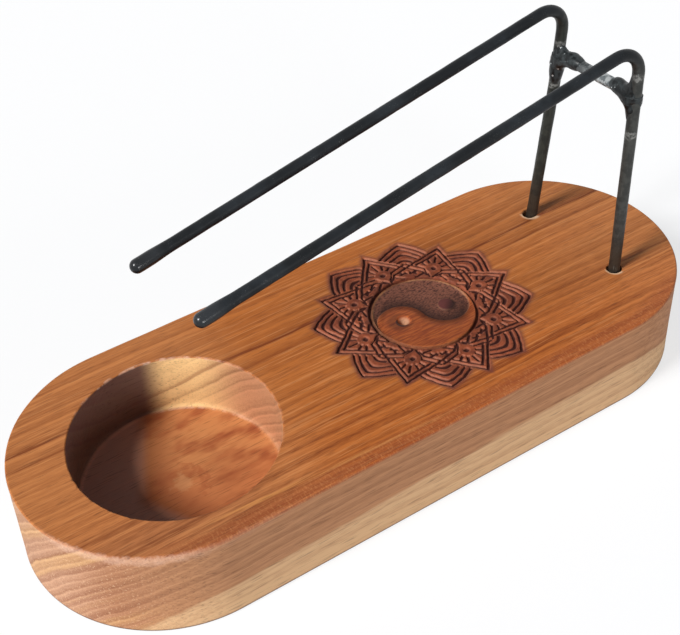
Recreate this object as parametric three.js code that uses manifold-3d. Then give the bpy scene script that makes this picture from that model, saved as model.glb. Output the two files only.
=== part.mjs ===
// Palo santo burner: a wooden block with a round ash bowl and a carved star mandala, and a
// wire holder whose two legs stand loose in the block, so that it lifts out.
// Millimetres, +Z up. The origin is the middle of the block's underside, +X points from the
// bowl to the holder's legs, and left is +Y.
import * as THREE from "three";
import { mergeVertices } from "three/addons/utils/BufferGeometryUtils.js";
import Module from "manifold-3d";

const wasm = await Module();
wasm.setup();

// Driving dimensions

const block = { length: 185, width: 70, height: 25, edgeRound: 0.6 };

const bowl = { fromEnd: 39, y: -0.5, radius: 25.6, depth: 16.8, floorFillet: 1.6 };

const rod = { diameter: 3, bendRadius: 6.5, tipSwell: 0.5, tipLength: 9 };

const socket = { clearance: 0.6, depth: 12 };

// The two rods were bent by hand, and the holder leans in its loose sockets. Each socket is
// fromEnd from the block's end and aside from its middle line. The leg leans forwards and
// inwards by two angles, to a bend that is rise above the block, and the arm drops by a third
// angle to a tip that stands short of the bowl's middle. Angles are in degrees.
const rods = {
  left: {
    side: 1,
    fromEnd: 25.1,
    aside: 16.7,
    forwardAngle: 3.4,
    inwardAngle: 2.2,
    rise: 65,
    dropAngle: 12.2,
    short: 3.5,
  },
  right: {
    side: -1,
    fromEnd: 23.1,
    aside: 14.8,
    forwardAngle: 0.7,
    inwardAngle: 1,
    rise: 65.5,
    dropAngle: 11.25,
    short: 3.1,
  },
};

const bar = { diameter: 3, rise: 50.6 };

// Each weld bead is three lumps: along the leg, along the bar, and across the corner below them.
const weld = {
  sleeve: { thickness: 1, length: 16, below: 1.8, inwards: 0.8 },
  barLump: { thickness: 0.9, length: 10.4, inwards: 3.6 },
  gusset: { radius: 1.9, length: 10, below: 3, inwards: 3 },
};

// Gap between pieces that touch, and how far a cutting solid runs past the face it cuts.
const seatGap = 0.3;
const overrun = 1;

// The carving, with its middle toSockets from the sockets. Radii are in plan.
const mandala = { toSockets: 50.4, y: 0.7, petals: 8, lineWidth: 0.7, lineDepth: 0.7 };

// Points of one petal's strand, as distances out along the petal's axis and aside from it.
const star = {
  tip: { out: 26.3, aside: 0 },
  shoulder: { out: 18.6, aside: 6 },
  bend: { out: 13.4, aside: 9.6 },
  end: { out: 11.4, aside: 9.7 },
  strandWidth: 1.3,
};

const arch = { tipRadius: 28, centre: 9.2, reach: 10.6, pitch: 1.5, count: 4 };

const eye = { at: 17.8, radius: 1, rayStart: 2.1, rayEnd: 3.8, rays: 3, fan: 76 };

const taiji = {
  ring: { radius: 13.65, width: 0.9, depth: 1.2 },
  half: { radius: 12.9, depth: 1.1, tailTrim: 0.2 },
  stud: { radius: 1.9, below: 0.2 },
  pit: { radius: 2.1, depth: 1.3 },
};

// Steps in a full circle, or in the part that is named.
const steps = { blockEnd: 24, edge: 2, bowl: 40, fillet: 3, socket: 16, rod: 12, bend: 8, tip: 5 };

const weldSteps = 10;

const carvingSteps = { ring: 40, half: 24, dot: 12, arch: 2, line: 2 };

// Solids and geometry

function solidOf(geometry) {
  const bare = geometry.clone();
  bare.deleteAttribute("normal");
  bare.deleteAttribute("uv");
  const merged = mergeVertices(bare, 1e-4);
  return new wasm.Manifold(
    new wasm.Mesh({
      numProp: 3,
      vertProperties: merged.attributes.position.array,
      triVerts: new Uint32Array(merged.index.array),
    }),
  );
}

function geometryOf(solid) {
  const mesh = solid.getMesh();
  const geometry = new THREE.BufferGeometry();
  geometry.setAttribute("position", new THREE.BufferAttribute(mesh.vertProperties, 3));
  geometry.setIndex(new THREE.BufferAttribute(mesh.triVerts, 1));
  const faceted = geometry.toNonIndexed();
  faceted.computeVertexNormals();
  return faceted;
}

function unite(solids) {
  return solids.reduce((all, solid) => all.add(solid));
}

// Turns a geometry that stands along +Y to lie along a direction, and moves it to a centre.
function laid(geometry, centre, along) {
  const turn = new THREE.Quaternion().setFromUnitVectors(new THREE.Vector3(0, 1, 0), along);
  return geometry.applyQuaternion(turn).translate(centre.x, centre.y, centre.z);
}

function cylinderBetween(from, to, radius, sides) {
  const along = to.clone().sub(from);
  const geometry = new THREE.CylinderGeometry(radius, radius, along.length(), sides);
  return laid(geometry, from.clone().add(to).multiplyScalar(0.5), along.normalize());
}

function roundShape(x, y, radius) {
  const outline = new THREE.Shape();
  outline.absarc(x, y, radius, 0, 2 * Math.PI, false);
  return outline;
}

// An extrusion takes two steps round an arc for each of its curve segments.
function extruded(shape, arcSteps, options) {
  return new THREE.ExtrudeGeometry(shape, { ...options, curveSegments: arcSteps / 2 });
}

// The block

const bowlX = bowl.fromEnd - block.length / 2;
const socketBottom = block.height - socket.depth;
const socketRadius = rod.diameter / 2 + socket.clearance;

function stadium(length, width) {
  const radius = width / 2;
  const reach = length / 2 - radius;
  const outline = new THREE.Shape();
  outline.absarc(reach, 0, radius, -Math.PI / 2, Math.PI / 2, false);
  outline.absarc(-reach, 0, radius, Math.PI / 2, (3 * Math.PI) / 2, false);
  return outline;
}

// The block has its top edge rounded. It is made deeper than it is, and cut off flat below.
function blockSolid() {
  const inset = 2 * block.edgeRound;
  const geometry = extruded(stadium(block.length - inset, block.width - inset), steps.blockEnd, {
    depth: block.height,
    bevelThickness: block.edgeRound,
    bevelSize: block.edgeRound,
    bevelSegments: steps.edge,
  });
  const below = new THREE.BoxGeometry(2 * block.length, 2 * block.width, inset);
  const rounded = solidOf(geometry.translate(0, 0, -block.edgeRound));
  return rounded.subtract(solidOf(below.translate(0, 0, -block.edgeRound)));
}

function bowlCutter() {
  const floor = block.height - bowl.depth;
  const profile = [new THREE.Vector2(0, floor)];
  for (let i = 0; i <= steps.fillet; i++) {
    const turn = ((i / steps.fillet) * Math.PI) / 2;
    const radius = bowl.radius - bowl.floorFillet * (1 - Math.sin(turn));
    profile.push(new THREE.Vector2(radius, floor + bowl.floorFillet * (1 - Math.cos(turn))));
  }
  profile.push(new THREE.Vector2(bowl.radius, block.height + overrun));
  profile.push(new THREE.Vector2(0, block.height + overrun));
  const geometry = new THREE.LatheGeometry(profile, steps.bowl);
  return solidOf(geometry.rotateX(Math.PI / 2).translate(bowlX, bowl.y, 0));
}

function socketAt(line, height) {
  return new THREE.Vector3(block.length / 2 - line.fromEnd, line.side * line.aside, height);
}

function socketCutter(line) {
  const bottom = socketAt(line, socketBottom);
  const top = socketAt(line, block.height + overrun);
  return solidOf(cylinderBetween(bottom, top, socketRadius, steps.socket));
}

// The carving

function turned(point, angle) {
  return point.clone().rotateAround(new THREE.Vector2(0, 0), angle);
}

function mirrored(points) {
  return points.map((point) => new THREE.Vector2(point.x, -point.y));
}

// A line of the carving's width along plan points, with mitred corners, and run on by half its
// width at both ends.
function lineShape(points) {
  const half = mandala.lineWidth / 2;
  const last = points.length - 1;
  const left = [];
  const right = [];
  points.forEach((point, i) => {
    const before = points[Math.max(i, 1) - 1];
    const into = points[Math.max(i, 1)].clone().sub(before).normalize();
    const next = Math.min(i, last - 1);
    const out = points[next + 1].clone().sub(points[next]).normalize();
    const normal = new THREE.Vector2(-into.y - out.y, into.x + out.x).normalize();
    const reach = half / normal.dot(new THREE.Vector2(-into.y, into.x));
    const at = point.clone();
    if (i === 0) at.addScaledVector(out, -half);
    if (i === last) at.addScaledVector(into, half);
    left.push(at.clone().addScaledVector(normal, reach));
    right.unshift(at.clone().addScaledVector(normal, -reach));
  });
  return new THREE.Shape([...left, ...right]);
}

function planPoint(place) {
  return new THREE.Vector2(place.out, place.aside);
}

// A strand's edge runs from a petal's tip over its shoulder and round a bend to its inner end. A
// second line lies inside it down to the shoulder, and a third outside it from there on.
function strandLines() {
  const [tip, shoulder, bend, end] = [star.tip, star.shoulder, star.bend, star.end].map(planPoint);
  const outer = shoulder.clone().sub(tip).normalize();
  const lower = bend.clone().sub(shoulder).normalize();
  const innerTip = new THREE.Vector2(tip.x - star.strandWidth / outer.y, 0);
  const innerShoulder = shoulder
    .clone()
    .add(new THREE.Vector2(-outer.y, outer.x).multiplyScalar(star.strandWidth));
  const aside = new THREE.Vector2(lower.y, -lower.x).multiplyScalar(star.strandWidth);
  return [
    [tip, shoulder, bend, end],
    [innerTip, innerShoulder],
    [shoulder.clone().add(aside), bend.clone().add(aside)],
  ];
}

// An arch stands behind the star between two petals. It is part of a circle, from its tip on the
// arch's own axis to the edge of the petal beside it. Its circle meets that edge at the nearer
// root of a square equation.
function archLine(index) {
  const radius = Math.hypot(arch.tipRadius - arch.centre, arch.reach) - index * arch.pitch;
  const middle = new THREE.Vector2(arch.centre, -arch.reach);
  const [tip, shoulder] = [star.tip, star.shoulder].map((place) =>
    turned(new THREE.Vector2(place.out, -place.aside), Math.PI / mandala.petals),
  );
  const run = shoulder.sub(tip);
  const fromMiddle = tip.clone().sub(middle);
  const along = fromMiddle.dot(run) / run.lengthSq();
  const apart = (fromMiddle.lengthSq() - radius ** 2) / run.lengthSq();
  const share = -along - Math.sqrt(along ** 2 - apart);
  const meeting = fromMiddle.addScaledVector(run, share);
  const start = Math.asin(arch.reach / radius);
  const points = [];
  for (let i = 0; i <= carvingSteps.arch; i++) {
    const angle = THREE.MathUtils.lerp(start, meeting.angle(), i / carvingSteps.arch);
    points.push(turned(new THREE.Vector2(radius, 0), angle).add(middle));
  }
  return points;
}

function eyeRays() {
  const middle = new THREE.Vector2(eye.at, 0);
  const rays = [];
  for (let i = 0; i < eye.rays; i++) {
    const angle = THREE.MathUtils.degToRad(eye.fan * (i / (eye.rays - 1) - 0.5));
    const ends = [eye.rayStart, eye.rayEnd];
    rays.push(ends.map((radius) => turned(new THREE.Vector2(radius, 0), angle).add(middle)));
  }
  return rays;
}

// The carved lines of one petal and of the arch beside it, about the mandala's middle.
function petalLines() {
  const strands = strandLines();
  const arches = [...Array(arch.count).keys()].map(archLine);
  const betweenPetals = [...arches, ...arches.map(mirrored)].map((line) =>
    line.map((point) => turned(point, Math.PI / mandala.petals)),
  );
  return [...strands, ...strands.map(mirrored), ...eyeRays(), ...betweenPetals];
}

function carvingCut(shape, depth, arcSteps) {
  const geometry = extruded(shape, arcSteps, { depth: depth + overrun, bevelEnabled: false });
  return solidOf(geometry.translate(0, 0, block.height - depth));
}

function starCuts() {
  const cuts = petalLines().map((line) =>
    carvingCut(lineShape(line), mandala.lineDepth, carvingSteps.line),
  );
  cuts.push(carvingCut(roundShape(eye.at, 0, eye.radius), mandala.lineDepth, carvingSteps.dot));
  const petal = unite(cuts);
  const petals = [];
  for (let k = 0; k < mandala.petals; k++) petals.push(petal.rotate([0, 0, (360 * k) / mandala.petals]));
  return petals;
}

// The sunk half of the yin and yang: the far half of the disc, with the right head added and the
// left head left standing. The left head is a little larger, so that the tail ends blunt.
function sunkHalfCut() {
  const { radius, depth, tailTrim } = taiji.half;
  const farHalf = new THREE.Shape();
  farHalf.absarc(0, 0, radius, 0, Math.PI, false);
  const rightHead = roundShape(radius / 2, 0, radius / 2);
  const leftHead = roundShape(-radius / 2, 0, radius / 2 + tailTrim);
  const [far, right, left] = [farHalf, rightHead, leftHead].map((shape) =>
    carvingCut(shape, depth, carvingSteps.half),
  );
  return far.add(right).subtract(left);
}

// The yin and yang in its ring. One dot is a stud left standing in the sunk half, and the other
// is a pit in the half that was left.
function taijiCuts() {
  const { ring, half, stud, pit } = taiji;
  const ringShape = roundShape(0, 0, ring.radius + ring.width / 2);
  ringShape.holes.push(roundShape(0, 0, ring.radius - ring.width / 2));
  const studShape = roundShape(half.radius / 2, 0, stud.radius);
  const pitShape = roundShape(-half.radius / 2, 0, pit.radius);
  return [
    carvingCut(ringShape, ring.depth, carvingSteps.ring),
    sunkHalfCut().subtract(carvingCut(studShape, half.depth + overrun, carvingSteps.dot)),
    carvingCut(studShape, stud.below, carvingSteps.dot),
    carvingCut(pitShape, pit.depth, carvingSteps.dot),
  ];
}

function woodBase() {
  const cutters = [bowlCutter(), ...Object.values(rods).map(socketCutter)];
  const mandalaX = socketAt(rods.right, 0).x - mandala.toSockets;
  const carving = unite([...starCuts(), ...taijiCuts()]).translate([mandalaX, mandala.y, 0]);
  return [...cutters, carving].reduce((wood, cutter) => wood.subtract(cutter), blockSolid());
}

// The holder

const socketMiddle = socketBottom + socket.depth / 2;
const footHeight = socketBottom + seatGap;
const barHeight = block.height + bar.rise;

// The leg's centre line at a height. It crosses its socket's axis halfway down the socket.
function legAt(line, height) {
  const above = height - socketMiddle;
  const [forwards, inwards] = [line.forwardAngle, line.inwardAngle].map(
    (lean) => Math.tan(THREE.MathUtils.degToRad(lean)) * above,
  );
  return socketAt(line, height).add(new THREE.Vector3(forwards, -line.side * inwards, 0));
}

function legDirection(line) {
  return legAt(line, barHeight).sub(legAt(line, footHeight)).normalize();
}

// The centre line of one rod: up the leg, round the bend and down the arm. The parameter runs
// over the leg, the steps of the bend and the arm in equal shares.
class RodLine extends THREE.Curve {
  constructor(line) {
    super();
    const drop = THREE.MathUtils.degToRad(line.dropAngle);
    const apex = legAt(line, block.height + line.rise);
    const armLength = (apex.x - (bowlX + line.short)) / Math.cos(drop);
    this.foot = legAt(line, footHeight);
    this.up = legDirection(line);
    this.out = new THREE.Vector3(-Math.cos(drop), 0, -Math.sin(drop));
    this.tip = apex.clone().addScaledVector(this.out, armLength);
    this.turn = this.up.angleTo(this.out);
    this.bendStart = apex.clone().addScaledVector(this.up, -rod.bendRadius * Math.tan(this.turn / 2));
    this.inwards = this.out.clone().addScaledVector(this.up, -this.out.dot(this.up)).normalize();
    this.shares = steps.bend + 2;
  }

  bendPoint(angle) {
    return this.bendStart
      .clone()
      .addScaledVector(this.up, rod.bendRadius * Math.sin(angle))
      .addScaledVector(this.inwards, rod.bendRadius * (1 - Math.cos(angle)));
  }

  getPoint(t) {
    const share = t * this.shares;
    if (share < 1) return this.foot.clone().lerp(this.bendStart, share);
    const bend = Math.min((share - 1) / steps.bend, 1);
    const point = this.bendPoint(this.turn * bend);
    return bend < 1 ? point : point.lerp(this.tip, share - 1 - steps.bend);
  }

  getUtoTmapping(u) {
    return u;
  }
}

// A rod, with the paint that has run down to its tip and set there as a thicker, rounded end.
function bentRod(line) {
  const path = new RodLine(line);
  const section = roundShape(0, 0, rod.diameter / 2);
  const wire = extruded(section, steps.rod, { steps: path.shares, extrudePath: path });
  const tipRadius = (rod.diameter + rod.tipSwell) / 2;
  const swell = new THREE.CapsuleGeometry(tipRadius, rod.tipLength, steps.tip, steps.rod);
  const tipMiddle = path.tip.clone().addScaledVector(path.out, -rod.tipLength / 2);
  return geometryOf(solidOf(wire).add(solidOf(laid(swell, tipMiddle, path.out))));
}

const barLeft = legAt(rods.left, barHeight);
const barRight = legAt(rods.right, barHeight);
const barDirection = barRight.clone().sub(barLeft).normalize();

function crossBar() {
  const trim = rod.diameter / 2 + seatGap;
  const from = barLeft.clone().addScaledVector(barDirection, trim);
  const to = barRight.clone().addScaledVector(barDirection, -trim);
  return cylinderBetween(from, to, bar.diameter / 2, steps.rod);
}

// A spindle of weld metal along a direction.
function lump(centre, along, length, radius) {
  const geometry = new THREE.SphereGeometry(1, weldSteps, weldSteps);
  return solidOf(laid(geometry.scale(radius, length / 2, radius), centre, along));
}

// The bead where the bar meets a leg. It leaves the seat gap round the leg and the bar.
function weldBead(line) {
  const { sleeve, barLump, gusset } = weld;
  const up = new THREE.Vector3(0, 0, 1);
  const inwards = barDirection.clone().multiplyScalar(line.side);
  const leg = legDirection(line);
  const at = (below, aside) => legAt(line, barHeight - below).addScaledVector(inwards, aside);
  const diagonal = inwards.clone().add(up).normalize();
  const legRadius = rod.diameter / 2;
  const barRadius = bar.diameter / 2;
  const bead = unite([
    lump(at(sleeve.below, sleeve.inwards), leg, sleeve.length, legRadius + sleeve.thickness),
    lump(at(0, barLump.inwards), inwards, barLump.length, barRadius + barLump.thickness),
    lump(at(gusset.below, gusset.inwards), diagonal, gusset.length, gusset.radius),
  ]);
  const legEnds = [sleeve.length, -sleeve.length].map((below) => at(below, 0));
  const barEnds = [at(0, 0), at(0, sleeve.length)];
  const legSpace = cylinderBetween(...legEnds, legRadius + seatGap, steps.rod);
  const barSpace = cylinderBetween(...barEnds, barRadius + seatGap, steps.rod);
  return geometryOf(bead.subtract(solidOf(legSpace)).subtract(solidOf(barSpace)));
}

// Materials and the assembled group

const wood = new THREE.MeshStandardMaterial({ color: 0xb26b3a, roughness: 0.55, metalness: 0 });

const blackPaint = new THREE.MeshStandardMaterial({ color: 0x25292b, roughness: 0.4, metalness: 0.2 });

const bareSteel = new THREE.MeshStandardMaterial({ color: 0x8d9190, roughness: 0.4, metalness: 0.8 });

const weldMetal = new THREE.MeshStandardMaterial({ color: 0x3e4245, roughness: 0.35, metalness: 0.6 });

function place(parent, name, geometry, material) {
  const mesh = new THREE.Mesh(geometry, material);
  mesh.name = name;
  parent.add(mesh);
}

const burner = new THREE.Group();
place(burner, "wood_base", geometryOf(woodBase()), wood);

const wireHolder = new THREE.Group();
burner.add(wireHolder);
for (const [side, line] of Object.entries(rods)) {
  place(wireHolder, `${side}_rod`, bentRod(line), blackPaint);
  place(wireHolder, `${side}_weld`, weldBead(line), weldMetal);
}
place(wireHolder, "cross_bar", crossBar(), bareSteel);

export default burner;
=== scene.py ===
"""Looks of the palo santo burner: a carved wooden block, and the wire holder that stands in it.

Sizes are in millimetres and become metres when a mesh is made. +X points from the bowl to the
holder's legs, +Y is left, +Z is up, and the origin is the middle of the block's underside.
"""

import logging
import math
from dataclasses import dataclass, field
from enum import Enum

import bpy
import numpy as np
from mathutils import Matrix, Vector
from mathutils.geometry import delaunay_2d_cdt

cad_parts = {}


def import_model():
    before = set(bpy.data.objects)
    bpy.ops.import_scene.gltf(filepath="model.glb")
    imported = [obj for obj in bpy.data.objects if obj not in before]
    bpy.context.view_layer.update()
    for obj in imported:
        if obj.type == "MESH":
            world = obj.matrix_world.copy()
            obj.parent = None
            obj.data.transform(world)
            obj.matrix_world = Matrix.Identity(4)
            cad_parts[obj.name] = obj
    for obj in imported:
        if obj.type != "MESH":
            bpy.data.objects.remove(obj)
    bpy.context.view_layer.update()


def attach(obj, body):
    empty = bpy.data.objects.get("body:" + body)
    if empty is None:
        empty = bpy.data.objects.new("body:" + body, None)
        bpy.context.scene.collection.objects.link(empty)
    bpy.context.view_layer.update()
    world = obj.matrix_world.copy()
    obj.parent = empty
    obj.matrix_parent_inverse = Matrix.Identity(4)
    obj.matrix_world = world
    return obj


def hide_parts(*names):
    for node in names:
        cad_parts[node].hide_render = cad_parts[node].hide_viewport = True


log = logging.getLogger("burner")

Array = np.ndarray
Colour = tuple[float, float, float, float]
Group = bpy.types.NodeTree
Material = bpy.types.Material
Socket = bpy.types.NodeSocket

MM = 0.001
JOINED_WITHIN = 1e-4
WHITE = (1.0, 1.0, 1.0, 1.0)

# The block, as its shape and its finish both need it. The ends are half circles about two points
# at the reach, the bowl's angle is that of its widest way, and the left socket comes first.
REACH = 57.5
RADIUS = 35.0
BOWL = (-53.46, -0.48)
BOWL_RADIUS = 25.57
BOWL_OVAL = 0.5
BOWL_TURN = 55.2
SOCKETS = ((67.4, 16.7), (69.4, -14.8))


def srgb(red: int, green: int, blue: int) -> Colour:
    """Turns a colour as a picture shows it, 0 to 255, into the linear one that shaders use.

    Args:
        red: Red, 0 to 255.
        green: Green, 0 to 255.
        blue: Blue, 0 to 255.

    Returns:
        The linear colour, with full alpha.
    """
    parts = np.array([red, green, blue]) / 255
    linear = np.where(parts <= 0.04045, parts / 12.92, ((parts + 0.055) / 1.055) ** 2.4)
    return (*(float(part) for part in linear), 1.0)


def smooth(low: float, high: float, value: Array) -> Array:
    """A smooth step: 0 below low, 1 above high, and t * t * (3 - 2 t) in between.

    Args:
        low: Where the step starts. It may be above high, and then the step falls.
        high: Where the step ends.
        value: Where to take the step's height.

    Returns:
        The heights, 0 to 1.
    """
    share = np.clip((value - low) / (high - low), 0, 1)
    return share * share * (3 - 2 * share)


def lattice_noise(points: Array, seed: int) -> Array:
    """Random heights on the whole-number points of space, blended smoothly between them.

    Each of a cell's eight corners weighs as much as the product of the three smoothed shares
    that the point has covered towards it.

    Args:
        points: Points, with x, y and z in the last axis. A cell is 1 across.
        seed: Picks the random table.

    Returns:
        Heights from -1 to 1.
    """
    size = 32
    table = np.random.default_rng(seed).uniform(-1, 1, (size, size, size))
    cell = np.floor(points).astype(int)
    share = smooth(0, 1, points - cell)
    total = np.zeros(points.shape[:-1])
    for corner in np.ndindex(2, 2, 2):
        weight = np.prod(np.where(corner, share, 1 - share), axis=-1)
        at = (cell + corner) % size
        total += weight * table[at[..., 0], at[..., 1], at[..., 2]]
    return total


def distance_to_segment(points: Array, start: Array, end: Array) -> Array:
    """Distance to a straight line between two points, its ends included.

    Args:
        points: Points, with their coordinates in the last axis.
        start: The line's first point.
        end: The line's last point.

    Returns:
        One distance for each point.
    """
    run = end - start
    share = np.clip(((points - start) @ run) / (run @ run), 0, 1)
    return np.linalg.norm(points - start - share[..., None] * run, axis=-1)


def distance_to(x: Array, y: Array, middle: tuple[float, float]) -> Array:
    """Distance of plan points to one of them."""
    return np.hypot(x - middle[0], y - middle[1])


def full_turn(steps: int) -> Array:
    """Even angles round a circle."""
    return np.linspace(0, 2 * np.pi, steps, endpoint=False)


def quarter(steps: int) -> Array:
    """Even angles over a quarter circle, with both its ends."""
    return np.linspace(0, 1, steps) * math.pi / 2


def level_ring(
    turn: Array, radius: object, level: object = 0.0, middle: tuple[float, float] = (0.0, 0.0)
) -> Array:
    """Points round an upright axis.

    Args:
        turn: Their angles.
        radius: Their distance from the axis, one for all or one each.
        level: Their height, one for all or one each.
        middle: Where the axis stands.

    Returns:
        The points, n by 3.
    """
    x, y = middle[0] + radius * np.cos(turn), middle[1] + radius * np.sin(turn)
    return np.stack([x, y, level + 0 * turn], axis=-1)


def cross_rings(turn: Array, first: Array, second: Array) -> Array:
    """Unit circles through two directions that stand square on each other.

    Args:
        turn: The angles round a circle.
        first: The direction at angle 0, one for all circles or one each.
        second: The direction a quarter turn on.

    Returns:
        The directions, circles by angles by 3.
    """
    return np.cos(turn)[:, None] * first[..., None, :] + np.sin(turn)[:, None] * second


def joined_points(points: Array) -> tuple[Array, Array]:
    """Finds the points that fall together.

    Args:
        points: The points.

    Returns:
        One index for each place, and for each point the number of its place.
    """
    grains = np.round(points / JOINED_WITHIN).astype(np.int64)
    _, first, joined = np.unique(grains, axis=0, return_index=True, return_inverse=True)
    return first, joined.reshape(-1)


def placed(name: str, data: bpy.types.ID) -> bpy.types.Object:
    """Puts a mesh, a lamp or a camera into the scene.

    Args:
        name: The object's name.
        data: What it shows.

    Returns:
        The object, at the origin.
    """
    made = bpy.data.objects.new(name, data)
    bpy.context.scene.collection.objects.link(made)
    return made


@dataclass
class Skin:
    """The faces of one closed piece, gathered patch by patch.

    Points that fall together are joined when the mesh is made, so that patches which share
    their edge's points make one closed surface.
    """

    points: list[Array] = field(default_factory=list)
    faces: list[Array] = field(default_factory=list)
    flat: list[bool] = field(default_factory=list)
    values: list[dict[str, Array]] = field(default_factory=list)
    count: int = 0

    def add(
        self,
        points: Array,
        faces: Array,
        flat: bool = False,
        values: dict[str, Array] | None = None,
    ) -> None:
        """Adds a patch.

        Args:
            points: Its points, in millimetres, n by 3.
            faces: Its faces as indices of its own points, n by 3 or n by 4.
            flat: Whether its faces are shaded flat.
            values: Named values of its points. Patches without them have zeros.
        """
        self.points.append(points)
        self.faces.append(faces + self.count)
        self.flat.append(flat)
        self.values.append(values or {})
        self.count += len(points)

    def sweep(self, rows: Array, hollow: bool = False) -> "Skin":
        """Adds a surface of closed rows of points.

        With rows that run down and points that run round to the left, each face is a row's
        point, the one below it, and their neighbours, which points outwards.

        Args:
            rows: Points, rows by points by 3. A row whose points fall together closes an end.
            hollow: Turns the faces inwards, for a hole.

        Returns:
            The skin.
        """
        height, around = rows.shape[:2]
        index = np.arange(height * around).reshape(height, around)
        right = np.roll(index, -1, axis=1)
        corners = [index[:-1], index[1:], right[1:], right[:-1]]
        faces = np.stack(corners[::-1] if hollow else corners, axis=-1)
        self.add(rows.reshape(-1, 3), faces.reshape(-1, 4))
        return self

    def to_object(self, name: str, material: Material) -> bpy.types.Object:
        """Joins the points that fall together and makes the mesh.

        Args:
            name: The piece's name.
            material: Its material.

        Returns:
            The new object, at the origin.
        """
        points = np.concatenate(self.points)
        first, joined = joined_points(points)
        corners, totals, flats = [], [], []
        for faces, flat in zip(self.faces, self.flat):
            for kept in without_doubles(joined[faces]):
                corners.append(kept.reshape(-1))
                totals.append(np.full(len(kept), kept.shape[1]))
                flats.append(np.full(len(kept), flat))
        corners, totals = np.concatenate(corners), np.concatenate(totals)
        mesh = bpy.data.meshes.new(name)
        mesh.vertices.add(len(first))
        mesh.vertices.foreach_set("co", (points[first] * MM).astype(np.float32).reshape(-1))
        mesh.loops.add(len(corners))
        mesh.loops.foreach_set("vertex_index", corners.astype(np.int32))
        mesh.polygons.add(len(totals))
        starts = np.concatenate([[0], np.cumsum(totals)[:-1]])
        mesh.polygons.foreach_set("loop_start", starts.astype(np.int32))
        mesh.polygons.foreach_set("use_smooth", ~np.concatenate(flats))
        patches = list(zip(self.values, self.points))
        for key in sorted({key for values in self.values for key in values}):
            whole = [values.get(key, np.zeros(len(part))) for values, part in patches]
            largest = np.zeros(len(first))
            np.maximum.at(largest, joined, np.concatenate(whole))
            layer = mesh.attributes.new(key, "FLOAT", "POINT")
            layer.data.foreach_set("value", largest.astype(np.float32))
        mesh.update(calc_edges=True)
        mesh.validate()
        mesh.materials.append(material)
        return placed(name, mesh)


def without_doubles(faces: Array) -> list[Array]:
    """Splits faces into whole ones, and those in which one corner fell on the next.

    Args:
        faces: Faces, n by 3 or n by 4.

    Returns:
        The whole faces, and where four-sided ones lost a corner, their triangles.
    """
    same = faces == np.roll(faces, -1, axis=1)
    kept = [faces[~same.any(axis=1)]]
    if faces.shape[1] == 4:
        for corner in range(4):
            narrow = same[:, corner] & (same.sum(axis=1) == 1)
            kept.append(np.delete(faces[narrow], corner, axis=1))
    return [part for part in kept if len(part)]


def filled(loops: list[Array], extra: list[Array], height: float, up: bool) -> tuple[Array, Array]:
    """Fills a flat face between closed edge lines with triangles.

    Args:
        loops: Each line's points in order, n by 2.
        extra: Pairs of end points of more edges, n by 2 by 2, in no order.
        height: The face's height.
        up: Whether it faces up.

    Returns:
        The points and the triangles of everything inside the outer line. The holes are filled too.
    """
    ends = [np.stack([loop, np.roll(loop, -1, axis=0)], axis=1) for loop in loops] + extra
    ends = np.concatenate(ends).reshape(-1, 2)
    first, joined = joined_points(ends)
    flat = ends[first]
    edges = joined.reshape(-1, 2).tolist()
    inside_outer, nearest = 1, 1e-7
    places = [Vector(point) for point in flat]
    found = delaunay_2d_cdt(places, edges, [], inside_outer, nearest, True)
    origin = np.array([ids[0] for ids in found[3]])
    faces = origin[np.array(found[2])]
    a, b, c = (flat[faces[:, k]] for k in range(3))
    turn = (b[:, 0] - a[:, 0]) * (c[:, 1] - a[:, 1]) - (b[:, 1] - a[:, 1]) * (c[:, 0] - a[:, 0])
    faces = np.where(((turn > 0) == up)[:, None], faces, faces[:, ::-1])
    return np.column_stack([flat, np.full(len(flat), height)]), faces


def inside_loop(points: Array, loop: Array) -> Array:
    """Whether plan points lie in a closed line.

    A ray to the right crosses the line an odd number of times from there.

    Args:
        points: Plan points, n by 2.
        loop: The line's points, m by 2.

    Returns:
        One truth value for each point.
    """
    after = np.roll(loop, -1, axis=0)
    x, y = points[:, :1], points[:, 1:]
    spans = (loop[:, 1] > y) != (after[:, 1] > y)
    rise = np.where(after[:, 1] == loop[:, 1], 1, after[:, 1] - loop[:, 1])
    cross = loop[:, 0] + (y - loop[:, 1]) * (after[:, 0] - loop[:, 0]) / rise
    return (spans & (x < cross)).sum(axis=1) % 2 == 1


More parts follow.
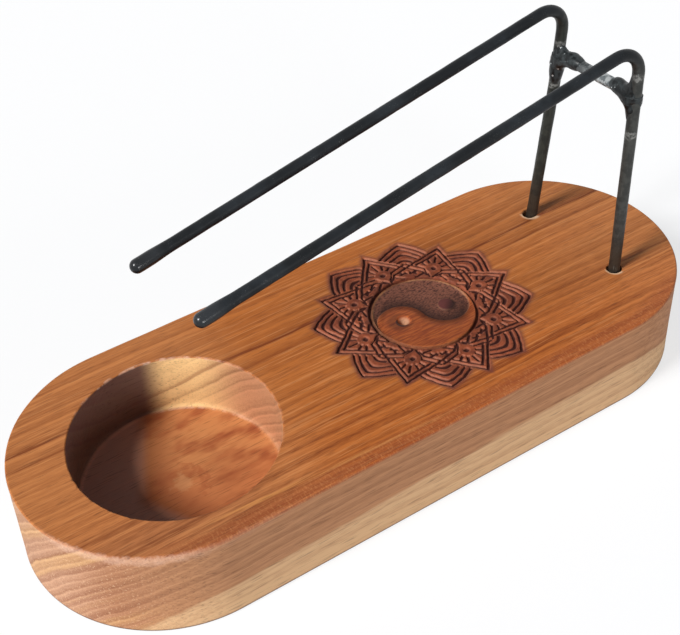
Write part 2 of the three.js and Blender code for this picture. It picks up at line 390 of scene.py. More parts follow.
class Graph:
    """Adds shader nodes to one tree and links them."""

    def __init__(self, tree: Group) -> None:
        """Takes the tree to build in."""
        self.tree = tree

    def locate(self) -> None:
        """Reads the point in millimetres, whole and in its parts, which other methods then use."""
        self.at = self.scaled(self.node("TexCoord").outputs["Object"], (1 / MM,) * 3)
        self.x, self.y, self.z = self.node("SeparateXYZ", {0: self.at}).outputs

    def node(self, kind: str, inputs: dict | None = None, **settings: object) -> bpy.types.Node:
        """Adds a node.

        Args:
            kind: The node's type, without its ShaderNode prefix.
            inputs: What each input socket, by name or number, is set to or linked from.
            settings: Properties of the node.

        Returns:
            The node.
        """
        made = self.tree.nodes.new("ShaderNode" + kind)
        for key, value in settings.items():
            setattr(made, key, value)
        for key, value in (inputs or {}).items():
            self.feed(made.inputs[key], value)
        return made

    def feed(self, socket: Socket, value: object) -> None:
        """Links a socket from another, or sets its own value.

        Args:
            socket: The input socket.
            value: The output socket or the value.
        """
        if isinstance(value, bpy.types.NodeSocket):
            self.tree.links.new(value, socket)
        else:
            socket.default_value = value

    def existing(self, kind: str) -> bpy.types.Node:
        """The tree's first node of a type."""
        return next(node for node in self.tree.nodes if node.type == kind)

    def math(self, operation: str, *values: object, clamp: bool = False) -> Socket:
        """A Math node's result.

        Args:
            operation: Its operation.
            values: Up to three numbers or sockets.
            clamp: Whether the result is kept from 0 to 1.

        Returns:
            The output socket.
        """
        inputs = dict(enumerate(values))
        return self.node("Math", inputs, operation=operation, use_clamp=clamp).outputs[0]

    def times(self, product: object, *factors: object) -> Socket:
        """The product of numbers or sockets.

        Args:
            product: The first of them.
            factors: The others.

        Returns:
            The output socket.
        """
        for factor in factors:
            product = self.math("MULTIPLY", product, factor)
        return product

    def less(self, value: object, taken: object) -> Socket:
        """A value less another."""
        return self.math("SUBTRACT", value, taken)

    def line(self, value: object, slope: object, start: object) -> Socket:
        """A value times a slope, plus a start."""
        return self.math("MULTIPLY_ADD", value, slope, start)

    def sway(self, noise: object, reach: float, value: object) -> Socket:
        """A value moved to both sides by noise, by up to half of the reach."""
        return self.line(self.less(noise, 0.5), reach, value)

    def scaled(self, vector: object, scale: tuple[float, float, float]) -> Socket:
        """A vector with each part multiplied by its own number."""
        return self.node("VectorMath", {0: vector, 1: scale}, operation="MULTIPLY").outputs[0]

    def plane(self, first: object, second: object) -> Socket:
        """A vector whose first two parts are given."""
        return self.node("CombineXYZ", {0: first, 1: second}).outputs[0]

    def span(self, value: object, low: float, high: float, clean: bool = True) -> Socket:
        """A value's smooth step from low to high, 0 to 1. A low above high makes it fall.

        Args:
            value: The value.
            low: Where the step starts.
            high: Where it ends.
            clean: Whether the step is smooth at its ends, and not straight.

        Returns:
            The output socket.
        """
        kind = "SMOOTHSTEP" if clean else "LINEAR"
        falls = low > high
        inputs = {"Value": value, "From Min": min(low, high), "From Max": max(low, high)}
        inputs |= {"To Min": 1.0 if falls else 0.0, "To Max": 0.0 if falls else 1.0}
        return self.node("MapRange", inputs, interpolation_type=kind, clamp=True).outputs[0]

    def noise(self, vector: object, scale: float, detail: float = 2.0) -> Socket:
        """Noise of about 0.5, a cell of 1 / scale across."""
        inputs = {"Vector": vector, "Scale": scale, "Detail": detail, "Roughness": 0.55}
        return self.node("TexNoise", inputs).outputs["Fac"]

    def grain(self, along: float, across: float, detail: float = 2.0) -> Socket:
        """Noise at the point, with its own scale along the block and across it."""
        return self.noise(self.scaled(self.at, (along, across, across)), 1.0, detail)

    def away(self, middle: tuple[float, float]) -> tuple[Socket, Socket, Socket]:
        """How far the point lies from an upright axis.

        Args:
            middle: Where the axis stands.

        Returns:
            The distances along x and along y, with their signs, and the whole distance.
        """
        parts = [self.less(self.x, middle[0]), self.less(self.y, middle[1])]
        squares = [self.math("POWER", part, 2.0) for part in parts]
        return *parts, self.math("SQRT", self.math("ADD", *squares))

    def mix(self, share: object, first: object, second: object, blend: str = "MIX") -> Socket:
        """Two colours mixed, or blended in another way.

        Args:
            share: How much of the second is taken.
            first: The first colour or socket.
            second: The second colour or socket.
            blend: The blend type.

        Returns:
            The colour's output socket.
        """
        made = self.tree.nodes.new("ShaderNodeMix")
        made.data_type = "RGBA"
        made.blend_type = blend
        self.feed(made.inputs["Factor"], share)
        self.feed(made.inputs[6], first)
        self.feed(made.inputs[7], second)
        return made.outputs[2]

    def cover(self, colour: object, over: object, mask: Socket, weight: float) -> Socket:
        """A colour with another over it, where a mask is, by a weight."""
        return self.mix(self.times(mask, weight), colour, over)

    def ramp(self, value: object, stops: list[tuple[float, float]]) -> Socket:
        """A curve through points, as the grey of a colour ramp that starts and ends 1 past them.

        Args:
            value: Where to read the curve.
            stops: Its points: where, and how high.

        Returns:
            The output socket.
        """
        low, high = stops[0][0] - 1, stops[-1][0] + 1
        made = self.node("ValToRGB", {0: self.span(value, low, high, clean=False)})
        elements = made.color_ramp.elements
        while len(elements) < len(stops):
            elements.new(0.5)
        places = [(place - low) / (high - low) for place, _ in stops]
        for element, place, (_, level) in zip(elements, places, stops):
            element.position = place
            element.color = (level, level, level, 1)
        return made.outputs[0]

    def grouped(self, group: Group, scale: float) -> bpy.types.NodeOutputs:
        """The outputs of a node group that reads the point at a scale."""
        return self.node("Group", {"Vector": self.at, "Scale": scale}, node_tree=group).outputs

    def relief(self, shader: bpy.types.Node, height: Socket, strength: float, reach: float) -> None:
        """Gives a shader bumps, with a strength and a reach in metres."""
        bump = self.node("Bump", {"Height": height, "Strength": strength, "Distance": reach})
        self.feed(shader.inputs["Normal"], bump.outputs[0])


def new_material(name: str) -> tuple[Material, Graph, bpy.types.Node]:
    """Makes a material with a plain Principled shader.

    Args:
        name: Its name.

    Returns:
        The material, a graph on its tree, and the shader.
    """
    material = bpy.data.materials.new(name)
    material.use_nodes = True
    graph = Graph(material.node_tree)
    return material, graph, graph.existing("BSDF_PRINCIPLED")


def new_group(name: str, outputs: list[str]) -> tuple[Group, Graph, dict, dict]:
    """Starts a node group with a Vector and a Scale.

    Args:
        name: Its name.
        outputs: Number outputs.

    Returns:
        The group, a graph on it, its input sockets and its output sockets, by name.
    """
    tree = bpy.data.node_groups.new(name, "ShaderNodeTree")
    sockets = tree.interface
    sockets.new_socket("Vector", in_out="INPUT", socket_type="NodeSocketVector")
    sockets.new_socket("Scale", in_out="INPUT", socket_type="NodeSocketFloat").default_value = 1.0
    for key in outputs:
        sockets.new_socket(key, in_out="OUTPUT", socket_type="NodeSocketFloat")
    start, end = tree.nodes.new("NodeGroupInput"), tree.nodes.new("NodeGroupOutput")
    return tree, Graph(tree), start.outputs, end.inputs


def mottle_group() -> Group:
    """Blotches and a lumpy height, for anything that was painted, burnt or forged.

    Returns:
        The group. Patches is a blotchy mask, and Height a mix of coarse and fine lumps.
    """
    tree, graph, given, out = new_group("mottle", ["Patches", "Height"])
    coarse = graph.noise(given["Vector"], given["Scale"], 3.0)
    fine = graph.noise(given["Vector"], graph.times(given["Scale"], 5.0))
    graph.feed(out["Patches"], graph.span(coarse, 0.42, 0.62))
    graph.feed(out["Height"], graph.line(fine, 0.3, coarse))
    return tree


def scuff_group() -> Group:
    """Fine scratches along one axis, broken up by blotches.

    Returns:
        The group. Scratches is a mask of thin lines.
    """
    tree, graph, given, out = new_group("scuffs", ["Scratches"])
    lines = graph.noise(graph.scaled(given["Vector"], (9.0, 9.0, 0.6)), given["Scale"])
    where = graph.noise(given["Vector"], graph.times(given["Scale"], 0.5), 1.0)
    thin = graph.span(lines, 0.62, 0.7)
    graph.feed(out["Scratches"], graph.times(thin, graph.span(where, 0.5, 0.65)))
    return tree


class Mask(Enum):
    """Values that the block's mesh carries for the carving's finish."""

    GROOVE = "groove"
    RIDGE_AND_HIGHLIGHT = "ridge"
    # Pale rims of the grooves, and painted highlight on the flanks that face the lamp.
    GROUND = "ground"
    HALO = "halo"
    CHAR = "char"
    DISC = "disc"
    # Soot, and the painted shadows in the carving.
    SCORCH_AND_SHADE = "scorch"
    STUD = "stud"
    # The pit's pale wall, drawn only on its right side, which faces the lamp.
    PIT_AND_HIGHLIGHT = "pit"


@dataclass(frozen=True)
class Wood:
    """Oiled hardwood, with growth rings, pores, pale sapwood and a burnt carving."""

    oiled_light: Colour = srgb(196, 124, 70)
    oiled_dark: Colour = srgb(122, 60, 26)
    # Tints over the top, partly the wood's tone and partly painted light and shade.
    middle_tint: Colour = srgb(244, 226, 190)
    corner_tint: Colour = srgb(232, 236, 255)
    front_red: Colour = srgb(255, 232, 214)
    streak: Colour = srgb(212, 142, 86)
    golden: Colour = srgb(222, 152, 84)
    raw_light: Colour = srgb(182, 131, 93)
    raw_dark: Colour = srgb(120, 76, 52)
    end_light: Colour = srgb(197, 152, 121)
    end_warm: Colour = srgb(175, 125, 92)
    end_gold: Colour = srgb(214, 168, 112)
    end_dark: Colour = srgb(120, 68, 44)
    sap_light: Colour = srgb(210, 170, 128)
    sap_dark: Colour = srgb(160, 112, 76)
    wall_light: Colour = srgb(240, 199, 139)
    wall_dark: Colour = srgb(160, 102, 68)
    wall_right: Colour = srgb(190, 128, 94)
    # Painted shade on the bowl's left wall.
    wall_shaded: Colour = srgb(90, 61, 58)
    floor_light: Colour = srgb(187, 114, 69)
    floor_dark: Colour = srgb(128, 58, 32)
    # Partly the floor's tone and partly painted light, on its far side.
    floor_gold: Colour = srgb(204, 140, 86)
    floor_red: Colour = srgb(150, 70, 40)
    # Painted shade on the bowl's floor, towards its left.
    floor_shaded: Colour = srgb(192, 140, 118)
    edge_red: Colour = srgb(150, 76, 42)
    worn: Colour = srgb(220, 180, 156)
    # Painted contact shade along the bottom edge.
    contact_shade: Colour = srgb(84, 62, 52)
    chip: Colour = srgb(238, 200, 162)
    carved: Colour = srgb(106, 48, 33)
    carved_light: Colour = srgb(142, 70, 46)
    # Pale groove rims, and painted highlight on the carving's lit flanks.
    ridge: Colour = srgb(186, 118, 90)
    groove: Colour = srgb(58, 24, 18)
    char: Colour = srgb(133, 83, 65)
    char_dark: Colour = srgb(60, 36, 32)
    # Near black: soot, the carving's painted shadows, and the pores' dark.
    soot_and_shade: Colour = srgb(34, 19, 16)
    disc_light: Colour = srgb(174, 91, 45)
    disc_dark: Colour = srgb(136, 63, 33)
    stud: Colour = srgb(92, 48, 44)
    # The pit's pale wall: pale wood, and a painted highlight on the side that faces the lamp.
    pit: Colour = srgb(186, 136, 104)
    halo: Colour = srgb(104, 54, 46)

    # Where each ring of summer wood ends, across the rings, and how dark it gets there. One colour
    # ramp holds the first half and another the second, because a ramp has 32 stops at most.
    first_rings: tuple[tuple[float, float], ...] = (
        (-22.0, 0.35), (-19.5, 0.3), (-16.9, 0.45), (-15.1, 0.5), (-13.0, 0.65), (-10.8, 0.5),
        (-8.5, 0.6), (-6.9, 0.55), (-5.0, 0.6), (-3.1, 0.5), (-1.3, 0.65),
    )  # fmt: skip
    last_rings: tuple[tuple[float, float], ...] = (
        (1.6, 0.5), (4.0, 0.7), (6.3, 0.5), (8.4, 0.65), (11.2, 0.6), (13.3, 0.45), (18.2, 0.6),
        (21.0, 0.75), (23.7, 0.9), (26.9, 1.0), (30.8, 0.75), (33.1, 0.8), (38.0, 0.6),
    )  # fmt: skip
    rings_end: float = 44.0
    ring_edge: float = 0.2
    chips: tuple[float, float] = (1.15, 0.65)
    gloss: float = 0.18

    def build(self) -> Material:
        """Builds the material.

        Returns:
            The material.
        """
        material, graph, shader = new_material("oiled_wood")
        graph.locate()
        across = self.across(graph)
        tone, pores, fibre, cut_across = self.figure(graph, across)
        raw = self.raw(graph, across, tone, cut_across)
        raw = self.inside_bowl(graph, tone, raw)
        top = graph.span(graph.z, 24.6, 24.85)
        colour = graph.mix(top, raw, self.oiled(graph, tone, fibre))
        colour = self.edges(graph, colour)
        colour = self.rims(graph, colour)
        colour = self.carving(graph, colour)
        graph.feed(shader.inputs["Base Color"], graph.cover(colour, self.soot_and_shade, pores, 0.3))

        matt = graph.line(fibre, 0.12, 0.46)
        rough = graph.line(graph.less(1.0, top), 0.22, matt)
        graph.feed(shader.inputs["Roughness"], rough)
        shader.inputs["Specular IOR Level"].default_value = self.gloss
        graph.relief(shader, graph.line(pores, -0.8, fibre), 0.3, 0.00008)
        return material

    def across(self, graph: Graph) -> Socket:
        """How far a point lies across the growth rings, which run along x and lean by half.

        It is the sum of y and z over the square root of 2, plus a slow warp and a small wave.

        Args:
            graph: The material's graph.

        Returns:
            The distance in millimetres.
        """
        plain = graph.times(graph.math("ADD", graph.y, graph.z), 1 / math.sqrt(2))
        warped = graph.sway(graph.grain(0.011, 0.03, 1.0), 5.0, plain)
        return graph.sway(graph.grain(0.04, 0.14, 1.0), 1.3, warped)

    def figure(self, graph: Graph, across: Socket) -> tuple[Socket, Socket, Socket, Socket]:
        """The wood's figure: rings, streaks along the fibres, and pores.

        Args:
            graph: The material's graph.
            across: The distance across the rings.

        Returns:
            How dark the wood is, the pores' mask, the fibres' height, and the mask of the faces
            that cut across the fibres.
        """
        curves = []
        ends = self.last_rings[0][0], self.rings_end
        for rings, after in zip((self.first_rings, self.last_rings), ends):
            stops = []
            for where, dark in rings:
                stops += [(where - self.ring_edge, 0.0), (where + self.ring_edge, dark)]
            curves.append(graph.ramp(across, stops + [(after - self.ring_edge, 0.0)]))
        ring = graph.math("MAXIMUM", *curves)
        layers = graph.noise(graph.plane(graph.times(graph.x, 0.006), across), 0.9, 4.0)
        streak = graph.span(graph.grain(0.014, 1.2, 4.0), 0.3, 0.7)
        pore = graph.span(graph.grain(0.16, 3.2, 1.0), 0.6, 0.68)
        normal = graph.node("SeparateXYZ", {0: graph.node("TexCoord").outputs["Normal"]})
        cut_across = graph.span(graph.math("ABSOLUTE", normal.outputs[0]), 0.3, 0.8)
        along = graph.line(cut_across, -0.6, 1.0)
        tone = graph.times(graph.less(streak, 0.5), graph.times(along, 0.2))
        tone = graph.sway(graph.grain(0.28, 3.2, 3.0), 0.8, tone)
        tone = graph.sway(graph.span(layers, 0.32, 0.68), 0.24, tone)
        tone = graph.math("ADD", tone, 0.155)
        tone = graph.line(graph.span(ring, 0.2, 0.0), -0.16, tone)
        tone = graph.line(ring, graph.line(cut_across, 0.22, 0.32), tone)
        sharp = graph.math("POWER", ring, 7.0)
        steep = graph.line(cut_across, 0.3, 0.65)
        tone = graph.math("MULTIPLY_ADD", sharp, steep, tone, clamp=True)
        return tone, graph.times(pore, along), streak, cut_across

    def oiled(self, graph: Graph, tone: Socket, fibre: Socket) -> Socket:
        """The oiled top: redder in front, yellower in the middle, with streaks and a golden line.

        Args:
            graph: The material's graph.
            tone: How dark the wood is there.
            fibre: The fibres' height.

        Returns:
            The colour.
        """
        x, y = graph.x, graph.y
        front = graph.span(y, -4.0, -24.0)
        lively = graph.times(graph.less(tone, 0.15), graph.line(front, 0.7, 1.0))
        lively = graph.math("ADD", lively, 0.15, clamp=True)
        colour = graph.mix(lively, self.oiled_light, self.oiled_dark)
        # These tints are partly the wood's tone and partly painted light and shade.
        corner = graph.times(graph.span(y, -13.0, -25.0), graph.span(x, -34.0, -54.0), 0.9)
        middle = graph.times(graph.span(x, -40.0, -20.0), graph.span(x, 90.0, 30.0))
        shares = graph.times(front, 0.3), corner, middle
        for share, tint in zip(shares, (self.front_red, self.corner_tint, self.middle_tint)):
            colour = graph.mix(share, colour, tint, "MULTIPLY")
        dashes = graph.grain(0.05, 1.7)
        colour = graph.cover(colour, self.streak, graph.span(dashes, 0.56, 0.64), 0.4)
        apart = graph.math("ADD", graph.line(x, 0.056, y), 32.0)
        apart = graph.math("ABSOLUTE", graph.sway(fibre, 0.6, apart))
        line = graph.times(graph.span(apart, 0.7, 0.25), graph.span(dashes, 0.36, 0.5))
        line = graph.times(line, graph.span(x, -64.0, -48.0), graph.span(x, 16.0, -8.0))
        return graph.cover(colour, self.golden, line, 0.55)

    def raw(self, graph: Graph, across: Socket, tone: Socket, cut_across: Socket) -> Socket:
        """The unoiled sides: plain along the fibres, banded at the round ends, pale in the sapwood.

        The sapwood lies low on the front side. Its border runs along the rings, and rises slowly
        along the block.

        Args:
            graph: The material's graph.
            across: The distance across the rings.
            tone: How dark the wood is there.
            cut_across: The mask of the faces that cut across the fibres.

        Returns:
            The colour.
        """
        end = graph.mix(graph.span(graph.x, -91.5, -82.0), self.end_light, self.end_warm)
        bands = graph.noise(graph.plane(graph.times(graph.x, 0.05), across), 0.22)
        end = graph.cover(end, self.end_gold, graph.span(bands, 0.47, 0.62), 0.5)
        end = graph.mix(tone, end, self.end_dark)
        dots = graph.span(graph.noise(graph.at, 2.2, 1.0), 0.6, 0.7)
        end = graph.cover(end, self.chip, dots, 0.32)
        raw = graph.mix(cut_across, graph.mix(tone, self.raw_light, self.raw_dark), end)
        border = graph.times(graph.math("ADD", graph.y, graph.z), 1 / math.sqrt(2))
        border = graph.sway(graph.grain(0.05, 0.3), 1.6, border)
        sapwood = graph.span(graph.line(graph.x, -0.02, border), -16.6, -17.5)
        return graph.mix(sapwood, raw, graph.mix(tone, self.sap_light, self.sap_dark))

    def inside_bowl(self, graph: Graph, tone: Socket, colour: Socket) -> Socket:
        """The bowl's yellower wall and its orange floor, both darker on the left with painted
        shade.

        Args:
            graph: The material's graph.
            tone: How dark the wood is there.
            colour: The colour of the block's sides.

        Returns:
            The colour.
        """
        right, back, from_axis = graph.away(BOWL)
        high = graph.times(graph.span(graph.z, 15.0, 23.0), graph.span(right, 6.0, -8.0))
        darker = graph.math("MULTIPLY_ADD", high, 0.5, graph.line(tone, 0.8, -0.2), clamp=True)
        wall = graph.mix(darker, self.wall_light, self.wall_dark)
        redder = graph.mix(tone, self.wall_right, self.raw_dark)
        wall = graph.cover(wall, redder, graph.span(right, 15.0, 25.0), 0.9)
        patches = graph.grain(0.07, 0.16, 3.0)
        uneven = graph.sway(patches, 2.4, graph.times(tone, 0.5))
        uneven = graph.math("ADD", uneven, 0.14, clamp=True)
        floor = graph.mix(uneven, self.floor_light, self.floor_dark)
        # Golden on the floor's far side: partly the wood's tone and partly painted light.
        far = graph.span(graph.line(right, 0.5, back), -3.0, 13.0)
        far = graph.times(far, graph.span(patches, 0.62, 0.42))
        knot = graph.noise(graph.plane(graph.x, graph.y), 0.6, 3.0)
        knot = graph.sway(knot, 8.0, from_axis)
        arc = graph.span(graph.math("ABSOLUTE", graph.less(knot, 5.6)), 1.4, 0.3)
        arc = graph.times(arc, graph.span(right, 0.5, 4.0))
        # Painted shade: towards the left, the wall and the floor take their shaded colours.
        aside = graph.line(graph.math("ABSOLUTE", back), -0.5, right)
        wall = graph.cover(wall, self.wall_shaded, graph.span(aside, -1.5, -9.5), 0.94)
        for over, mask, weight in (
            (self.floor_gold, far, 0.65),
            (self.floor_red, arc, 0.35),
            (self.wall_light, graph.span(knot, 3.4, 1.2), 0.15),
            # The next two: a painted penumbra on the floor, then painted shade over its left part.
            (self.floor_dark, graph.span(aside, 2.0, -6.0), 0.45),
            (self.floor_shaded, graph.span(aside, -8.0, -13.5), 0.94),
        ):
            floor = graph.cover(floor, over, mask, weight)
        inside = graph.mix(graph.span(graph.z, 8.8, 8.25), wall, floor)
        return graph.mix(graph.span(from_axis, 27.2, 26.8), colour, inside)

    def edges(self, graph: Graph, colour: Socket) -> Socket:
        """The redder strip along the front edge, the left end's worn edge, and painted shade below.

        Args:
            graph: The material's graph.
            colour: The colour so far.

        Returns:
            The colour.
        """
        x, y, z = graph.x, graph.y, graph.z
        over = graph.math("MAXIMUM", graph.less(graph.math("ABSOLUTE", x), REACH), 0.0)
        squares = graph.math("ADD", graph.math("POWER", over, 2.0), graph.math("POWER", y, 2.0))
        inset = graph.less(RADIUS, graph.math("SQRT", squares))
        inset = graph.sway(graph.grain(0.9, 0.9, 3.0), 1.8, inset)
        speckle, hatch = graph.grain(1.6, 2.4), graph.grain(2.4, 0.8)
        strip = graph.times(graph.span(y, -22.0, -30.0), graph.span(x, -86.0, -54.0))
        strip = graph.times(strip, graph.span(inset, 6.2, 2.0), graph.span(z, 24.0, 24.6))
        strip = graph.times(strip, graph.span(speckle, 0.2, 0.5))
        colour = graph.cover(colour, self.edge_red, strip, 0.65)
        bright = graph.times(strip, graph.span(hatch, 0.52, 0.62))
        colour = graph.cover(colour, self.streak, bright, 0.3)
        level = graph.sway(graph.grain(0.45, 0.45, 3.0), 3.0, z)
        level = graph.sway(speckle, 1.6, level)
        worn = graph.times(graph.span(inset, 1.1, 0.3), graph.span(level, 22.2, 24.3))
        worn = graph.times(worn, graph.span(y, -6.0, -17.0))
        worn = graph.times(worn, graph.line(graph.span(hatch, 0.4, 0.6), 0.3, 0.7))
        left = graph.times(graph.span(x, -34.0, -56.0), 0.2)
        left = graph.line(graph.span(x, -60.0, -73.0), 0.7, left)
        colour = graph.cover(colour, self.worn, graph.times(worn, left), 0.5)
        # Painted contact shade along the bottom edge, darkest at the floor.
        return graph.cover(colour, self.contact_shade, graph.span(z, 0.9, 0.4), 0.85)

    def rims(self, graph: Graph, colour: Socket) -> Socket:
        """The frayed rim and crease of the bowl, and the chipped rims of the sockets.

        Args:
            graph: The material's graph.
            colour: The colour so far.

        Returns:
            The colour.
        """
        z = graph.z
        right, back, from_axis = graph.away(BOWL)
        turned = graph.math("ARCTAN2", back, right)
        oval = graph.math("COSINE", graph.line(turned, 2.0, -2 * math.radians(BOWL_TURN)))
        past_rim = graph.line(oval, -BOWL_OVAL, graph.less(from_axis, BOWL_RADIUS))
        past_rim = graph.sway(graph.grain(0.9, 0.9, 3.0), 1.0, past_rim)
        corner = graph.math("ADD", right, back)
        rim = graph.times(graph.span(z, 24.3, 24.7), graph.span(past_rim, 0.6, 0.25))
        rim = graph.times(rim, graph.span(corner, -8.0, 22.0))
        rim = graph.times(rim, graph.line(graph.span(right, 16.0, 24.0), -0.7, 1.0))
        crease = graph.times(graph.span(z, 8.9, 8.6), graph.span(z, 8.25, 8.35), 0.5)
        crease = graph.times(crease, graph.span(from_axis, 26.8, 26.4))
        crease = graph.times(crease, graph.span(corner, 29.0, 33.0))
        breaks = graph.span(graph.grain(0.45, 0.45, 3.0), 0.4, 0.6)
        frayed = graph.times(graph.math("MAXIMUM", rim, crease), breaks)
        colour = graph.cover(colour, self.worn, frayed, 0.6)
        for middle, reach in zip(SOCKETS, self.chips):
            right, back, from_axis = graph.away(middle)
            toward = graph.line(right, -0.7, graph.times(back, -0.7))
            rim = graph.span(from_axis, 2.2 + reach, 2.0 + 0.3 * reach)
            rim = graph.times(rim, graph.span(toward, 0.6, 1.4), graph.span(z, 22.5, 24.2))
            colour = graph.cover(colour, self.chip, rim, 0.85)
        return colour

    def carving(self, graph: Graph, colour: Socket) -> Socket:
        """The burnt carving, with its painted shade and highlights, from the masks that the mesh
        carries.

        Args:
            graph: The material's graph.
            colour: The wood's colour.

        Returns:
            The colour.
        """
        read = {}
        for key in Mask:
            read[key] = graph.node("Attribute", attribute_name=key.value).outputs["Fac"]
        patches = graph.span(graph.grain(0.5, 0.5, 3.0), 0.35, 0.65)
        grain = graph.span(graph.grain(0.25, 2.2, 3.0), 0.35, 0.65)
        spots = graph.span(graph.grain(1.4, 2.5, 3.0), 0.36, 0.74)
        for key, over, weight in (
            (Mask.HALO, self.halo, 0.8),
            (Mask.GROUND, graph.mix(patches, self.carved, self.carved_light), 0.9),
            (Mask.DISC, graph.mix(grain, self.disc_light, self.disc_dark), 1.0),
            (Mask.CHAR, graph.mix(spots, self.char, self.char_dark), 1.0),
            (Mask.STUD, self.stud, 1.0),
            (Mask.PIT_AND_HIGHLIGHT, self.pit, 1.0),
            (Mask.SCORCH_AND_SHADE, self.soot_and_shade, 1.0),
            (Mask.RIDGE_AND_HIGHLIGHT, self.ridge, 0.7),
        ):
            colour = graph.cover(colour, over, read[key], weight)
        return graph.mix(graph.span(read[Mask.GROOVE], 0.2, 0.75), colour, self.groove)


@dataclass(frozen=True)
class BlackPaint:
    """Semi-gloss black paint on wire, browner down the legs and scorched pale by the welds."""

    arm: Colour = srgb(14, 17, 20)
    arm_light: Colour = srgb(32, 36, 40)
    leg: Colour = srgb(52, 54, 49)
    leg_right: Colour = srgb(63, 64, 61)
    leg_low: Colour = srgb(54, 46, 38)
    ash: Colour = srgb(132, 132, 128)
    band_top: float = 81.3
    band_lean: float = 0.152
    band_low: float = 67.7
    band_width: float = 1.15
    band_wobble: float = 3.0

    def build(self, mottle: Group, scuffs: Group) -> Material:
        """Builds the material.

        Args:
            mottle: The blotches group.
            scuffs: The scratches group.

        Returns:
            The material.
        """
        material, graph, shader = new_material("black_paint")
        graph.locate()
        x, y, z = graph.x, graph.y, graph.z
        blotch = graph.grouped(mottle, 0.5)
        scratches = graph.grouped(scuffs, 0.6)["Scratches"]
        on_leg = graph.times(graph.span(z, 89.0, 83.0), graph.span(x, 58.0, 62.0))
        slow = graph.span(graph.noise(graph.at, 0.09, 3.0), 0.4, 0.68)
        leg = graph.mix(graph.span(y, 4.0, -4.0), self.leg, self.leg_right)
        leg = graph.mix(graph.span(z, 44.0, 27.0), leg, self.leg_low)
        colour = graph.mix(on_leg, graph.mix(slow, self.arm, self.arm_light), leg)
        colour = graph.mix(blotch["Patches"], colour, graph.mix(0.4, colour, self.arm))
        level = graph.line(graph.noise(graph.at, 0.7), self.band_wobble, z)
        upper = self.band(graph, graph.line(y, self.band_lean, level), self.band_top)
        lower = self.band(graph, level, self.band_low)
        burnt = graph.times(graph.math("MAXIMUM", upper, lower), on_leg)
        burnt = graph.times(burnt, graph.span(graph.noise(graph.at, 1.1, 3.0), 0.38, 0.56))
        colour = graph.cover(colour, self.ash, burnt, 0.8)
        graph.feed(shader.inputs["Base Color"], graph.cover(colour, self.ash, scratches, 0.25))
        drop = graph.span(x, -43.0, -46.0)
        rough = graph.line(drop, -0.16, graph.line(blotch["Patches"], 0.1, 0.36))
        graph.feed(shader.inputs["Roughness"], graph.line(burnt, 0.25, rough))
        graph.feed(shader.inputs["Specular IOR Level"], graph.line(drop, 0.14, 0.17))
        graph.relief(shader, blotch["Height"], 0.3, 0.0001)
        return material

    def band(self, graph: Graph, height: object, centre: float) -> Socket:
        """A mask of the heights within a band's width of a centre."""
        apart = graph.math("ABSOLUTE", graph.less(height, centre))
        return graph.span(apart, self.band_width, 0.4 * self.band_width)


@dataclass(frozen=True)
class BareSteel:
    """Bare, silvery steel, scorched dark towards the welds."""

    bright: Colour = srgb(168, 172, 172)
    dull: Colour = srgb(92, 98, 100)
    scorched: Colour = srgb(48, 52, 54)
    bright_at: float = -3.5
    bright_half: float = 2.6
    dark_from: float = 8.45
    metallic: float = 0.7

    def build(self, mottle: Group, scuffs: Group) -> Material:
        """Builds the material.

        Args:
            mottle: The blotches group.
            scuffs: The scratches group.

        Returns:
            The material.
        """
        material, graph, shader = new_material("bare_steel")
        graph.locate()
        blotch = graph.grouped(mottle, 0.8)
        scratches = graph.grouped(scuffs, 0.8)["Scratches"]
        from_bright = graph.math("ABSOLUTE", graph.less(graph.y, self.bright_at))
        near_end = graph.span(from_bright, self.bright_half, self.dark_from)
        colour = graph.mix(blotch["Patches"], self.bright, self.dull)
        colour = graph.cover(colour, self.scorched, near_end, 0.85)
        graph.feed(shader.inputs["Base Color"], graph.cover(colour, self.bright, scratches, 0.6))
        shader.inputs["Metallic"].default_value = self.metallic
        graph.feed(shader.inputs["Roughness"], graph.line(blotch["Patches"], 0.15, 0.38))
        graph.relief(shader, blotch["Height"], 0.4, 0.0001)
        return material


@dataclass(frozen=True)
class WeldMetal:
    """Dark, lumpy weld metal with small, bright, metallic spots."""

    dark: Colour = srgb(18, 21, 22)
    grey: Colour = srgb(46, 51, 52)
    spot: Colour = srgb(204, 210, 210)
    gloss: float = 0.24

    def build(self, mottle: Group) -> Material:
        """Builds the material.

        Args:
            mottle: The blotches group.

        Returns:
            The material.
        """
        material, graph, shader = new_material("weld_metal")
        graph.locate()
        blotch = graph.grouped(mottle, 0.7)
        bright = graph.span(graph.noise(graph.at, 0.75, 1.0), 0.7, 0.74)
        colour = graph.mix(blotch["Patches"], self.dark, self.grey)
        graph.feed(shader.inputs["Base Color"], graph.mix(bright, colour, self.spot))
        graph.feed(shader.inputs["Metallic"], graph.line(bright, 0.7, 0.04))
        shader.inputs["Specular IOR Level"].default_value = self.gloss
        graph.feed(shader.inputs["Roughness"], graph.line(blotch["Patches"], 0.2, 0.32))
        graph.relief(shader, blotch["Height"], 0.4, 0.00015)
        return material


